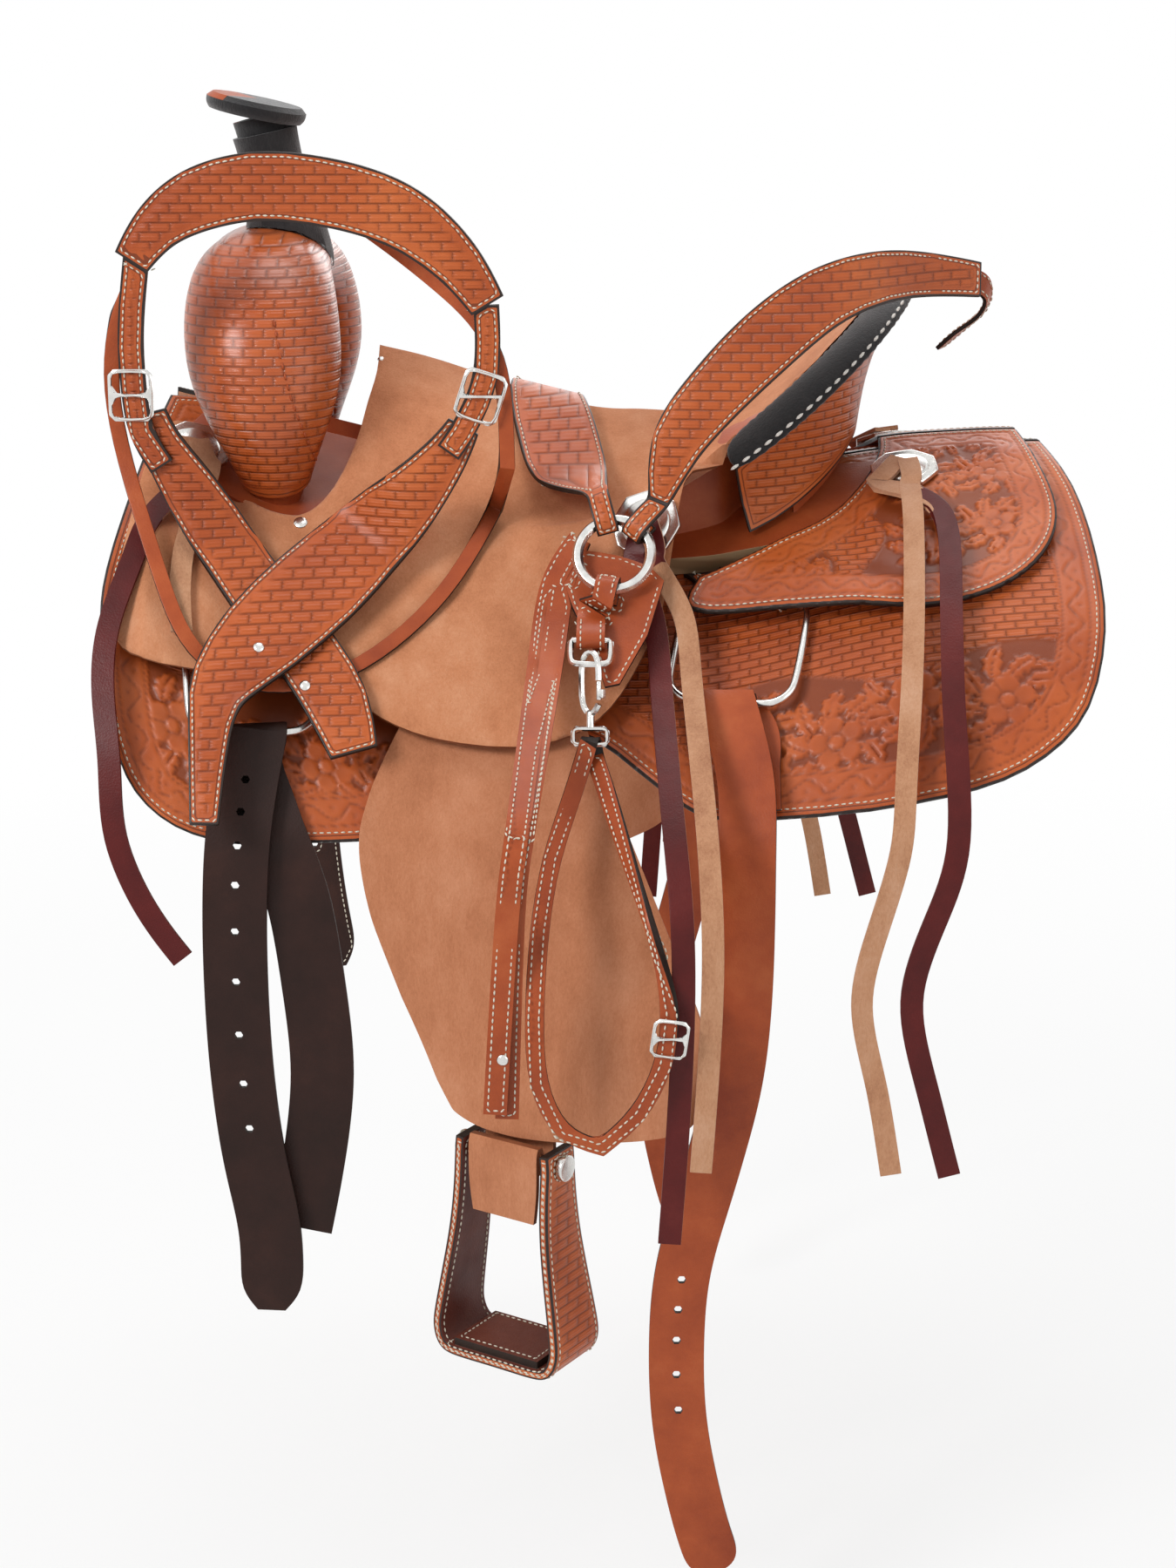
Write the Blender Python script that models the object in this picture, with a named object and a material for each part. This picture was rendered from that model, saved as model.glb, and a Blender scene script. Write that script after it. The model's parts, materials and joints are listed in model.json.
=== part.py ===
# Western trail saddle with its headstall and breast collar, built as separate leather,
# wood and metal pieces. Metres, +Z up, -X towards the horn, -Y the near side.
# The origin lies on the centre line at the underside of the seat's lowest point.

import math

import bmesh
import bpy
from mathutils import Vector

# The saddle form: the shape of the tree's underside that every leather layer follows
seatLowX = 0.060
spineLowZ = 0.040
frontRise = 0.55
rearRise = 0.031
rearRiseLength = 0.130
frontX = -0.350
rearX = 0.360
topSlopeFront = math.radians(24)
topSlopeRear = math.radians(10)
edgeSlopeFront = math.radians(66)
edgeSlopeRear = math.radians(58)
hangSlope = math.radians(88)
skirtDepth = 0.360
hangDepth = 0.500

# Leather layers: lift above the form and thickness
layerGap = 0.0006
fitGap = 0.0004
fleeceDepth = 0.012
fleeceInset = 0.008
skirtLeather = 0.005
riggingLeather = 0.004
barThickness = 0.0165
channelFloor = 0.0104
fenderLift = 0.0110
fenderLeather = 0.004
jockeyLift = 0.0226
jockeyLeather = 0.0045
strapLeather = 0.0040

# Seat and cantle
seatRiseFront = 0.054
seatRiseMiddle = 0.029
seatHalfWidth = 0.175
rimX = 0.213
rimSweep = 0.138
rimHalfWidth = 0.128
rimTopZ = 0.183
rimEndZ = 0.073
dishLength = 0.085
rollWidth = 0.034
rollThickness = 0.012

# Fork and horn
forkX = -0.2400
coverLeather = 0.003
hornBaseZ = 0.236
hornTopZ = 0.318
hornLean = 0.020
hornNeckRadius = 0.0205
hornCapRadius = 0.038
hornCapThickness = 0.012
wrapLeather = 0.0035

# Rigging hardware and straps
wireRadius = 0.0036
deeWidth = 0.092
deeHeight = 0.090
frontDeeX = -0.243
frontDeeT = 0.217
rearDeeX = 0.116
rearDeeT = 0.169
latigoWidth = 0.045
billetWidth = 0.040
stringWidth = 0.016
stringLeather = 0.003
conchoRadius = 0.018
rosetteRadius = 0.026

# Fender and stirrup
fenderPivotX = -0.050
fenderPivotT = 0.148
fenderTopRadius = 0.037
fenderTwist = math.radians(20)
stirrupTwist = math.radians(33)
stirrupY = -0.311
stirrupTopZ = -0.384
stirrupHeight = 0.150
stirrupHalfTop = 0.0365
stirrupHalfBottom = 0.0500
stirrupDepthTop = 0.034
stirrupDepthBottom = 0.058
stirrupWall = 0.007
boltRadius = 0.0055
boltHeadRadius = 0.010

# The lines on which every layer of the form is folded
foldsX = [-0.41, -0.35, -0.30, -0.25, -0.20, -0.15, -0.10, -0.05, 0.0,
          0.045, 0.09, 0.145, 0.19, 0.24, 0.30, 0.41]
foldsT = [0.0, 0.04, 0.08, 0.12, 0.15, 0.18, 0.22, 0.26, 0.31, 0.36, 0.41, 0.47, 0.54, 0.62]


def clearScene():
    for item in list(bpy.data.objects):
        bpy.data.objects.remove(item)


def smoothStep(value):
    value = min(1.0, max(0.0, value))
    return value * value * (3.0 - 2.0 * value)


def makeMaterial(name, color, roughness, metallic=0.0):
    material = bpy.data.materials.new(name)
    material.use_nodes = True
    shader = material.node_tree.nodes["Principled BSDF"]
    shader.inputs["Base Color"].default_value = (*color, 1.0)
    shader.inputs["Roughness"].default_value = roughness
    shader.inputs["Metallic"].default_value = metallic
    return material


leatherTan = ((0.50, 0.17, 0.05), 0.42, 0.0)
leatherRough = ((0.62, 0.32, 0.17), 0.85, 0.0)
leatherDark = ((0.045, 0.022, 0.016), 0.5, 0.0)
leatherRed = ((0.16, 0.03, 0.02), 0.5, 0.0)
leatherBlack = ((0.012, 0.012, 0.013), 0.6, 0.0)
woodBare = ((0.55, 0.38, 0.2), 0.7, 0.0)
fleeceWool = ((0.75, 0.68, 0.55), 0.95, 0.0)
nickel = ((0.75, 0.74, 0.72), 0.25, 1.0)


# The form: spine height, slope across, and the point at distance t down the side
def spineHeight(x):
    if x < seatLowX:
        return spineLowZ + frontRise * (x - seatLowX) ** 2
    return spineLowZ + rearRise * (1.0 - math.exp(-((x - seatLowX) / rearRiseLength) ** 2))


def arcOffsets(t, start, end, length):
    rate = (end - start) / length
    angle = start + rate * t
    across = (math.sin(angle) - math.sin(start)) / rate
    down = (math.cos(start) - math.cos(angle)) / rate
    return across, down, angle


def formPoint(x, t, lift):
    along = (x - frontX) / (rearX - frontX)
    topSlope = topSlopeFront + (topSlopeRear - topSlopeFront) * along
    edgeSlope = edgeSlopeFront + (edgeSlopeRear - edgeSlopeFront) * along
    side = 1.0 if t >= 0 else -1.0
    depth = abs(t)
    across, down, angle = arcOffsets(min(depth, skirtDepth), topSlope, edgeSlope, skirtDepth)
    if depth > skirtDepth:
        more = min(depth, hangDepth) - skirtDepth
        moreAcross, moreDown, angle = arcOffsets(more, edgeSlope, hangSlope, hangDepth - skirtDepth)
        across += moreAcross
        down += moreDown
    if depth > hangDepth:
        across += (depth - hangDepth) * math.cos(hangSlope)
        down += (depth - hangDepth) * math.sin(hangSlope)
        angle = hangSlope
    tilt = angle * smoothStep(depth / 0.06)
    y = side * (across + lift * math.sin(tilt))
    return Vector((x, y, spineHeight(x) - down + lift * math.cos(tilt)))


def foldCell(value, folds):
    for index in range(len(folds) - 2):
        if value < folds[index + 1]:
            return index
    return len(folds) - 2


def foldedPoint(x, t, surface):
    # Straight facets between the fold lines, so that stacked layers stay parallel
    side = 1.0 if t >= 0 else -1.0
    column = foldCell(x, foldsX)
    row = foldCell(abs(t), foldsT)
    x0 = foldsX[column]
    x1 = foldsX[column + 1]
    t0 = foldsT[row]
    t1 = foldsT[row + 1]
    u = (x - x0) / (x1 - x0)
    v = (abs(t) - t0) / (t1 - t0)
    if u >= v:
        corners = [(x0, t0, 1.0 - u), (x1, t0, u - v), (x1, t1, v)]
    else:
        corners = [(x0, t0, 1.0 - v), (x1, t1, u), (x0, t1, v - u)]
    point = Vector((0.0, 0.0, 0.0))
    for cornerX, cornerT, weight in corners:
        point += weight * surface(cornerX, cornerT * side)
    return point


def layerSurface(lift):
    if callable(lift):
        return lambda x, t: formPoint(x, t, lift(x, abs(t)))
    return lambda x, t: formPoint(x, t, lift)


def splinePoints(points, steps, closed=False):
    # A Catmull-Rom curve through the points
    result = []
    count = len(points)
    spans = count if closed else count - 1
    for index in range(spans):
        if closed:
            p0, p1, p2, p3 = (points[(index + k) % count] for k in (-1, 0, 1, 2))
        else:
            p0 = points[max(index - 1, 0)]
            p1 = points[index]
            p2 = points[index + 1]
            p3 = points[min(index + 2, count - 1)]
        for step in range(steps):
            f = step / steps
            result.append(0.5 * (2 * p1 + (p2 - p0) * f + (2 * p0 - 5 * p1 + 4 * p2 - p3) * f ** 2
                                 + (3 * p1 - p0 - 3 * p2 + p3) * f ** 3))
    if not closed:
        result.append(points[-1].copy())
    return result


def insetOutline(outline, distance):
    count = len(outline)
    area = sum(outline[i][0] * outline[(i + 1) % count][1] - outline[(i + 1) % count][0] * outline[i][1]
               for i in range(count))
    turn = 1.0 if area > 0 else -1.0
    result = []
    for i in range(count):
        before = Vector(outline[i - 1])
        after = Vector(outline[(i + 1) % count])
        along = (after - before).normalized()
        result.append((outline[i][0] - turn * along.y * distance, outline[i][1] + turn * along.x * distance))
    return result


def cutPanel(outline):
    # The outline as a flat sheet in (x, t), cut along every fold line
    sheet = bmesh.new()
    sheet.faces.new([sheet.verts.new((x, t, 0.0)) for x, t in outline])
    lines = [((x, 0, 0), (1, 0, 0)) for x in foldsX[1:-1]]
    lines += [((0, t, 0), (0, 1, 0)) for t in foldsT[1:-1]]
    for start, normal in lines:
        geometry = sheet.verts[:] + sheet.edges[:] + sheet.faces[:]
        bmesh.ops.bisect_plane(sheet, geom=geometry, dist=1e-6, plane_co=start, plane_no=normal)
    for column in range(len(foldsX) - 1):
        for row in range(len(foldsT) - 1):
            x0, x1 = foldsX[column], foldsX[column + 1]
            t0, t1 = foldsT[row], foldsT[row + 1]
            faces = [f for f in sheet.faces if x0 < f.calc_center_median().x < x1
                     and t0 < f.calc_center_median().y < t1]
            if not faces:
                continue
            edges = {e for f in faces for e in f.edges}
            verts = {v for f in faces for v in f.verts}
            normal = (t1 - t0, x0 - x1, 0)
            geometry = list(verts) + list(edges) + faces
            bmesh.ops.bisect_plane(sheet, geom=geometry, dist=1e-6, plane_co=(x0, t0, 0), plane_no=normal)
    bmesh.ops.remove_doubles(sheet, verts=sheet.verts, dist=0.0016)
    bmesh.ops.dissolve_degenerate(sheet, edges=sheet.edges, dist=0.0004)
    return sheet


def panelSolid(outline, low, high, warp=None):
    # A closed sheet between two surfaces over an outline in (x, t), t counted positive
    sheet = cutPanel(outline)
    sheet.verts.index_update()
    count = len(sheet.verts)
    verts = []
    for surface in (low, high):
        for vert in sheet.verts:
            point = foldedPoint(vert.co.x, vert.co.y, surface)
            if warp:
                point = warp(point, vert.co.x, vert.co.y)
            verts.append(point)
    faces = []
    for face in sheet.faces:
        loop = [v.index for v in face.verts]
        faces.append([i + count for i in loop])
        faces.append(loop[::-1])
    for edge in sheet.edges:
        if len(edge.link_faces) == 1:
            loop = edge.link_loops[0]
            a = loop.vert.index
            b = loop.link_loop_next.vert.index
            faces.append([a, b, b + count, a + count])
    sheet.free()
    return verts, faces


def sweptStrap(points, across, widths, thickness):
    # A flat strap along a path: one width direction and one width for each point
    count = len(points)
    verts = []
    for i in range(count):
        tangent = (points[min(i + 1, count - 1)] - points[max(i - 1, 0)]).normalized()
        wide = (across[i] - tangent * across[i].dot(tangent)).normalized()
        normal = wide.cross(tangent).normalized()
        w = 0.5 * widths[i] * wide
        n = 0.5 * thickness * normal
        verts += [points[i] - w - n, points[i] + w - n, points[i] + w + n, points[i] - w + n]
    faces = [[0, 1, 2, 3], [4 * count - 1, 4 * count - 2, 4 * count - 3, 4 * count - 4]]
    for i in range(count - 1):
        for k in range(4):
            a = 4 * i + k
            b = 4 * i + (k + 1) % 4
            faces.append([a, a + 4, b + 4])
            faces.append([a, b + 4, b])
    return verts, faces


def ribbon(points, thickness, steps=3, facing=None):
    # A strap of (x, y, z, width) points whose face looks towards `facing`, the near side by default
    data = splinePoints([Vector(p) for p in points], steps)
    path = [Vector(p[:3]) for p in data]
    widths = [p[3] for p in data]
    looks = [Vector((0.0, -1.0, 0.0))] * len(path)
    if facing:
        looks = splinePoints([Vector(f) for f in facing], steps)
    across = []
    for i in range(len(path)):
        tangent = (path[min(i + 1, len(path) - 1)] - path[max(i - 1, 0)]).normalized()
        across.append(tangent.cross(looks[i]))
    return sweptStrap(path, across, widths, thickness)


def wireRing(path, radius, sides=6, closed=True):
    count = len(path)
    centre = sum(path, Vector()) / count
    verts = []
    for i in range(count):
        if closed:
            tangent = (path[(i + 1) % count] - path[i - 1]).normalized()
        else:
            tangent = (path[min(i + 1, count - 1)] - path[max(i - 1, 0)]).normalized()
        outward = path[i] - centre
        outward = (outward - tangent * outward.dot(tangent)).normalized()
        other = tangent.cross(outward)
        for k in range(sides):
            angle = 2 * math.pi * k / sides
            verts.append(path[i] + radius * (math.cos(angle) * outward + math.sin(angle) * other))
    faces = []
    for i in range(count if closed else count - 1):
        for k in range(sides):
            a = i * sides + k
            b = i * sides + (k + 1) % sides
            c = ((i + 1) % count) * sides
            faces.append([a, b, c + (k + 1) % sides, c + k])
    if not closed:
        faces.append(list(range(sides))[::-1])
        faces.append([(count - 1) * sides + k for k in range(sides)])
    return verts, faces


def frameAt(origin, right, up):
    # Maps flat (u, v, n) coordinates to a plane in space
    right = Vector(right).normalized()
    up = (Vector(up) - right * Vector(up).dot(right)).normalized()
    normal = right.cross(up)
    origin = Vector(origin)
    return lambda u, v, n=0.0: origin + right * u + up * v + normal * n


def deePath(width, height, corner, place, steps=4):
    # A D ring: straight top bar, rounded bottom with a short straight under the strap
    half = width / 2
    points = [(-half + corner * 0.2, 0.0), (half - corner * 0.2, 0.0), (half, -corner * 0.3)]
    for k in range(steps + 1):
        angle = -math.pi / 2 * k / steps
        points.append((half - corner + corner * math.cos(angle), corner - height + corner * math.sin(angle)))
    for k in range(steps + 1):
        angle = -math.pi / 2 - math.pi / 2 * k / steps
        points.append((corner - half + corner * math.cos(angle), corner - height + corner * math.sin(angle)))
    points.append((-half, -corner * 0.3))
    return [place(u, v) for u, v in points]


def boxSolid(place, low, high):
    verts = [place(u, v, n) for n in (low[2], high[2]) for v in (low[1], high[1]) for u in (low[0], high[0])]
    faces = [[0, 2, 3, 1], [4, 5, 7, 6], [0, 1, 5, 4], [2, 6, 7, 3], [0, 4, 6, 2], [1, 3, 7, 5]]
    return verts, faces


def discSolid(place, profile, sides, scallop=0.0):
    # A turned piece: (radius, height) profile from its low centre to its high centre
    verts = [place(0.0, 0.0, profile[0][1])]
    for radius, height in profile[1:-1]:
        for k in range(sides):
            angle = 2 * math.pi * k / sides
            r = radius * (1.0 - scallop * (k % 2))
            verts.append(place(r * math.cos(angle), r * math.sin(angle), height))
    verts.append(place(0.0, 0.0, profile[-1][1]))
    rings = len(profile) - 2
    faces = []
    for k in range(sides):
        m = (k + 1) % sides
        faces.append([0, 1 + m, 1 + k])
        last = 1 + (rings - 1) * sides
        faces.append([last + k, last + m, len(verts) - 1])
        for ring in range(rings - 1):
            a = 1 + ring * sides
            faces.append([a + k, a + m, a + sides + m, a + sides + k])
    return verts, faces


def mirrored(solid):
    verts, faces = solid
    return [Vector((v[0], -v[1], v[2])) for v in verts], [face[::-1] for face in faces]


def addNode(name, solids, look, pivot=(0, 0, 0), smooth=False, angle=40):
    # One named object with its origin on its pivot: the first solid, joined with any others
    first = solids[0]
    verts = [Vector(v) - Vector(pivot) for v in first[0]]
    mesh = bpy.data.meshes.new(name)
    mesh.from_pydata(verts, [], first[1])
    work = bmesh.new()
    work.from_mesh(mesh)
    bmesh.ops.recalc_face_normals(work, faces=work.faces)
    work.to_mesh(mesh)
    work.free()
    if smooth:
        mesh.shade_smooth()
        mesh.set_sharp_from_angle(angle=math.radians(angle))
    mesh.materials.append(makeMaterial(name, *look))
    item = bpy.data.objects.new(name, mesh)
    item.location = pivot
    bpy.context.collection.objects.link(item)
    combine(item, solids[1:], 'UNION')
    return item


def toolObject(name, solid):
    # A hidden guide for a Boolean, which the model leaves out
    verts, faces = solid
    mesh = bpy.data.meshes.new(name)
    mesh.from_pydata(verts, [], faces)
    work = bmesh.new()
    work.from_mesh(mesh)
    bmesh.ops.recalc_face_normals(work, faces=work.faces)
    work.to_mesh(mesh)
    work.free()
    guide = bpy.data.objects.new(name, mesh)
    guide.hide_render = True
    guide.display_type = 'WIRE'
    bpy.context.collection.objects.link(guide)
    return guide


def combine(item, solids, operation):
    for number, solid in enumerate(solids):
        label = "%s_%s_%d" % (item.name, operation.lower(), number)
        step = item.modifiers.new(label, 'BOOLEAN')
        step.operation = operation
        step.solver = 'EXACT'
        step.object = toolObject(label, solid)


def bothSides(name, solids, look, pivot=(0, 0, 0), smooth=False, cutters=()):
    far = [mirrored(solid) for solid in solids]
    left = addNode(name + "_left", solids, look, pivot, smooth)
    right = addNode(name + "_right", far, look, (pivot[0], -pivot[1], pivot[2]), smooth)
    combine(left, cutters, 'DIFFERENCE')
    combine(right, [mirrored(c) for c in cutters], 'DIFFERENCE')
    return left, right


def nearSide(solid):
    return mirrored(solid)


# Skirts and their fleece lining
skirtOutline = [(-0.315, 0.022), (-0.332, 0.13), (-0.345, 0.21), (-0.347, 0.25), (-0.343, 0.295),
                (-0.334, 0.336), (-0.318, 0.366), (-0.290, 0.381), (-0.250, 0.381), (-0.200, 0.368),
                (-0.144, 0.353), (-0.112, 0.325), (-0.085, 0.285), (-0.055, 0.262), (-0.025, 0.259),
                (0.009, 0.271), (0.040, 0.297), (0.071, 0.323), (0.100, 0.335), (0.197, 0.352),
                (0.270, 0.349), (0.318, 0.330), (0.350, 0.295), (0.366, 0.235), (0.367, 0.165),
                (0.360, 0.080), (0.346, 0.005)]


def buildSkirts():
    outline = [(p.x, max(p.y, 0.004)) for p in splinePoints([Vector(p) for p in skirtOutline], 2)]
    outline += [(0.20, 0.004), (0.0, 0.004), (-0.20, 0.004), (-0.29, 0.008)]
    solid = panelSolid(outline, layerSurface(0.0), layerSurface(skirtLeather))
    bothSides("skirt", [nearSide(solid)], leatherTan)
    plain = skirtOutline + [(0.20, 0.004), (0.0, 0.004), (-0.20, 0.004), (-0.29, 0.008)]
    wool = [(x, 0.0 if t < 2 * fleeceInset else t) for x, t in insetOutline(plain, fleeceInset)]
    wool = [p for i, p in enumerate(wool) if p != wool[i - 1]]
    half = panelSolid(wool, layerSurface(-fleeceDepth), layerSurface(-layerGap))
    addNode("fleece_lining", [joinedHalves(*half)], fleeceWool)


# Tree bars, with the channel that the stirrup leathers cross
barOutline = [(-0.300, 0.060), (-0.285, 0.034), (-0.200, 0.030), (0.0, 0.030), (0.180, 0.030), (0.250, 0.036),
              (0.280, 0.065), (0.282, 0.095), (0.262, 0.122), (0.200, 0.128), (0.050, 0.127),
              (-0.050, 0.127), (-0.150, 0.128), (-0.250, 0.128), (-0.292, 0.105)]
barLow = skirtLeather + layerGap


def barTop(x, t):
    if -0.105 < x < 0.005 and t > 0.07:
        return channelFloor if abs(x - fenderPivotX) < 0.02 else channelFloor - 0.003
    if x > 0.17 or x < -0.25:
        return 0.0096
    return barLow + barThickness


def treeBars():
    solid = panelSolid(barOutline, layerSurface(barLow), layerSurface(barTop))
    return [solid, mirrored(solid)]


# The seat: how far its leather rises above the form along and across the saddle
def seatRise(x, t):
    front = smoothStep((x + 0.215) / 0.05)
    along = seatRiseFront + (seatRiseMiddle - seatRiseFront) * smoothStep((x + 0.14) / 0.17)
    along = along * (1.0 - 0.30 * smoothStep((x - 0.03) / 0.08))
    share = max(0.0, 1.0 - (t / seatHalfWidth) ** 2)
    return front * along * share ** 1.5


def rimPoint(angle):
    # The inner edge of the cantle roll, from one end over the top to the other
    y = -rimHalfWidth * math.sin(angle)
    x = rimX - rimSweep * (1.0 - math.cos(angle)) ** 0.9
    z = rimEndZ + (rimTopZ - rimEndZ) * max(0.0, math.cos(angle)) ** 1.15
    return Vector((x, y, z))


def rimAngle(y):
    return math.asin(min(1.0, abs(y) / rimHalfWidth))


def jockeyBottom(x, t):
    if t < 0.165:
        base = barLow + barThickness + layerGap
    else:
        base = jockeyLift
    if x < -0.32 or (x < -0.25 and t < 0.165):
        base = 0.0108
    return base


def seatSurface(extra):
    def surface(x, t):
        point = formPoint(x, t, jockeyBottom(x, abs(t)) + extra)
        point.z += seatRise(x, abs(t))
        angle = rimAngle(point.y)
        rim = rimPoint(angle)
        body = formPoint(rim.x, t, jockeyBottom(rim.x, abs(t)))
        height = max(0.0, rim.z - body.z - seatRise(rim.x, abs(t)))
        away = max(0.0, rim.x - x)
        bowl = height * (1.0 - math.tanh(away / dishLength))
        fade = 1.0 - smoothStep((abs(t) - 0.135) / 0.055)
        point.z += bowl * fade
        return point
    return surface


seatOutline = [(-0.158, 0.0), (-0.158, 0.030), (-0.163, 0.056), (-0.170, 0.085), (-0.186, 0.112),
               (-0.212, 0.128), (-0.240, 0.128), (-0.264, 0.112), (-0.283, 0.085), (-0.300, 0.058),
               (-0.316, 0.078), (-0.328, 0.150), (-0.336, 0.235), (-0.334, 0.264), (-0.312, 0.275),
               (-0.270, 0.270), (-0.220, 0.265), (-0.175, 0.260), (-0.145, 0.275), (-0.108, 0.284),
               (-0.052, 0.285), (-0.012, 0.275), (0.016, 0.254), (0.038, 0.217), (0.058, 0.170), (0.069, 0.142)]


def acrossFor(x, y):
    # The t at which the form reaches the distance y from the centre plane
    low, high = 0.0, 0.4
    for _ in range(40):
        middle = (low + high) / 2
        if abs(formPoint(x, middle, jockeyBottom(x, middle)).y) < y:
            low = middle
        else:
            high = middle
    return low


def seatHalf():
    outer = [(p.x, p.y) for p in splinePoints([Vector(p) for p in seatOutline], 2)]
    for k in range(1, 9):
        rim = rimPoint(math.radians(90 - 90 * k / 8.0))
        outer.append((rim.x, acrossFor(rim.x, abs(rim.y)) if k < 8 else 0.0))
    return outer


# The seat is one wide piece, so its sheet is cut finer than the flat layers
def buildSeat():
    half = seatHalf()
    low = seatSurface(0.0)
    high = seatSurface(jockeyLeather)
    verts, faces = panelSolid(half, low, high)
    addNode("seat_leather", [joinedHalves(verts, faces)], leatherRough)


def groundSeat():
    ground = [(-0.150, 0.0), (-0.150, 0.060), (-0.135, 0.095), (-0.06, 0.112), (0.03, 0.112),
              (0.100, 0.095), (0.134, 0.060), (0.143, 0.0)]
    under = seatSurface(-layerGap - 0.0008)
    floor = layerSurface(barLow + barThickness - 0.003)
    verts, faces = panelSolid(ground, floor, under)
    return joinedHalves(verts, faces)


def joinedHalves(verts, faces):
    # Mirrors a half whose edge lies on the centre plane and welds the two halves
    verts = [Vector(v) for v in verts]
    onPlane = [abs(v.y) < 1e-7 for v in verts]
    kept = [face for face in faces if not all(onPlane[i] for i in face)]
    mapping = []
    out = list(verts)
    for i, vert in enumerate(verts):
        if onPlane[i]:
            mapping.append(i)
        else:
            mapping.append(len(out))
            out.append(Vector((vert.x, -vert.y, vert.z)))
    return out, kept + [[mapping[i] for i in face[::-1]] for face in kept]


# Rear jockeys lie behind the cantle, over the bars and the rear rigging
rearJockeyOutline = [(0.080, 0.150), (0.074, 0.178), (0.141, 0.191), (0.202, 0.203), (0.262, 0.205),
                     (0.305, 0.190), (0.332, 0.160), (0.342, 0.120), (0.336, 0.060), (0.327, 0.004)]
rearJockeyInner = [(0.222, 0.004), (0.218, 0.035), (0.200, 0.075), (0.168, 0.112), (0.125, 0.134)]


def rearJockeyBottom(x, t):
    if t < 0.165:
        return barTop(x, t) + layerGap + 0.0002
    if x < 0.22 and t < 0.24:
        return jockeyLift
    return skirtLeather + riggingLeather + 2 * layerGap


def rearJockeyTop(x, t):
    return rearJockeyBottom(x, t) + jockeyLeather


def buildRearJockeys():
    outline = [(p.x, p.y) for p in splinePoints([Vector(p) for p in rearJockeyOutline], 2)]
    outline += [(p.x, p.y) for p in splinePoints([Vector(p) for p in rearJockeyInner], 2)]
    solid = panelSolid(outline, layerSurface(rearJockeyBottom), layerSurface(rearJockeyTop))
    bothSides("rear_jockey", [nearSide(solid)], leatherTan)


# Cantle: wooden plate, leather back and padded roll along its rim
def cantleFrame(angle):
    rim = rimPoint(angle)
    ahead = rimPoint(min(angle + 0.02, math.pi / 2))
    behind = rimPoint(max(angle - 0.02, -math.pi / 2))
    tangent = (ahead - behind).normalized()
    plan = Vector((-tangent.y, tangent.x, 0.0)).normalized()
    if plan.x < 0:
        plan = -plan
    side = abs(angle) / (math.pi / 2)
    drop = math.radians(-12 + 50 * smoothStep(side * 1.1))
    outward = plan * math.cos(drop) - Vector((0, 0, 1)) * math.sin(drop)
    upward = tangent.cross(outward).normalized()
    if upward.z < 0:
        upward = -upward
    return rim, tangent, outward, upward, plan


def cantleBase(angle):
    # Where the cantle's back meets the bars
    share = (1.0 - math.cos(angle)) ** 0.9
    x = 0.206 - 0.108 * share
    y = 0.122 * math.sin(abs(angle))
    t = acrossFor(x, y)
    point = formPoint(x, t if angle < 0 else -t, barLow + barThickness + jockeyLeather + 3 * layerGap)
    return point


def loftSolid(rings):
    count = len(rings[0])
    verts = [v for ring in rings for v in ring]
    faces = [list(range(count))[::-1], [(len(rings) - 1) * count + k for k in range(count)]]
    for i in range(len(rings) - 1):
        for k in range(count):
            a = i * count + k
            b = i * count + (k + 1) % count
            faces.append([a, b, b + count])
            faces.append([a, b + count, a + count])
    return verts, faces


def buildCantle():
    steps = 14
    angles = [math.radians(-78 + 156 * k / steps) for k in range(steps + 1)]
    rollRings = []
    backRings = []
    woodRings = []
    for angle in angles:
        rim, tangent, outward, upward, plan = cantleFrame(angle)
        taper = 1.0 - 0.45 * smoothStep((abs(angle) - 1.0) / 0.5)
        centre = rim + outward * (rollWidth / 2 + 0.0012) + upward * (0.001 + 0.006 * abs(math.sin(angle)) ** 4)
        ring = []
        for k in range(8):
            turn = 2 * math.pi * (k + 0.5) / 8
            ring.append(centre + outward * (0.5 * rollWidth * math.cos(turn) / math.cos(math.pi / 8))
                        + upward * (0.5 * taper * rollThickness * math.sin(turn)))
        rollRings.append(ring)
        base = cantleBase(angle)
        top = rim + outward * (rollWidth * 0.55) - upward * (0.5 * rollThickness + 0.0001)
        middle = top * 0.45 + base * 0.55 - plan * 0.006
        upper = top * 0.75 + base * 0.25 - plan * 0.003
        inner = -plan * 0.0040
        backRings.append([top, upper, middle, base, base + inner, middle + inner, upper + inner, top + inner])
        woodGap = -plan * (0.0040 + 4 * fitGap)
        woodTop = upper + woodGap
        foot = base - Vector((0, 0, jockeyLeather + 3 * layerGap + 0.003))
        woodRings.append([woodTop, middle + woodGap, foot + woodGap, foot - plan * 0.022,
                          middle - plan * 0.018, woodTop - plan * 0.006])
    addNode("cantle_roll", [loftSolid(rollRings)], leatherBlack, smooth=True)
    addNode("cantle_back", [loftSolid(backRings)], leatherTan)
    return loftSolid(woodRings[2:-2])


# Fork: a swelled arch over the front of the bars, sleeved in leather
forkPath = [(0.104, 0.040, 0.014, 0.018), (0.1055, 0.062, 0.022, 0.026), (0.107, 0.084, 0.034, 0.036),
            (0.109, 0.108, 0.043, 0.048), (0.107, 0.138, 0.046, 0.059), (0.094, 0.174, 0.045, 0.060),
            (0.066, 0.199, 0.039, 0.056), (0.033, 0.208, 0.031, 0.051), (0.0, 0.210, 0.027, 0.048)]
coverCut = math.radians(30)


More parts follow.
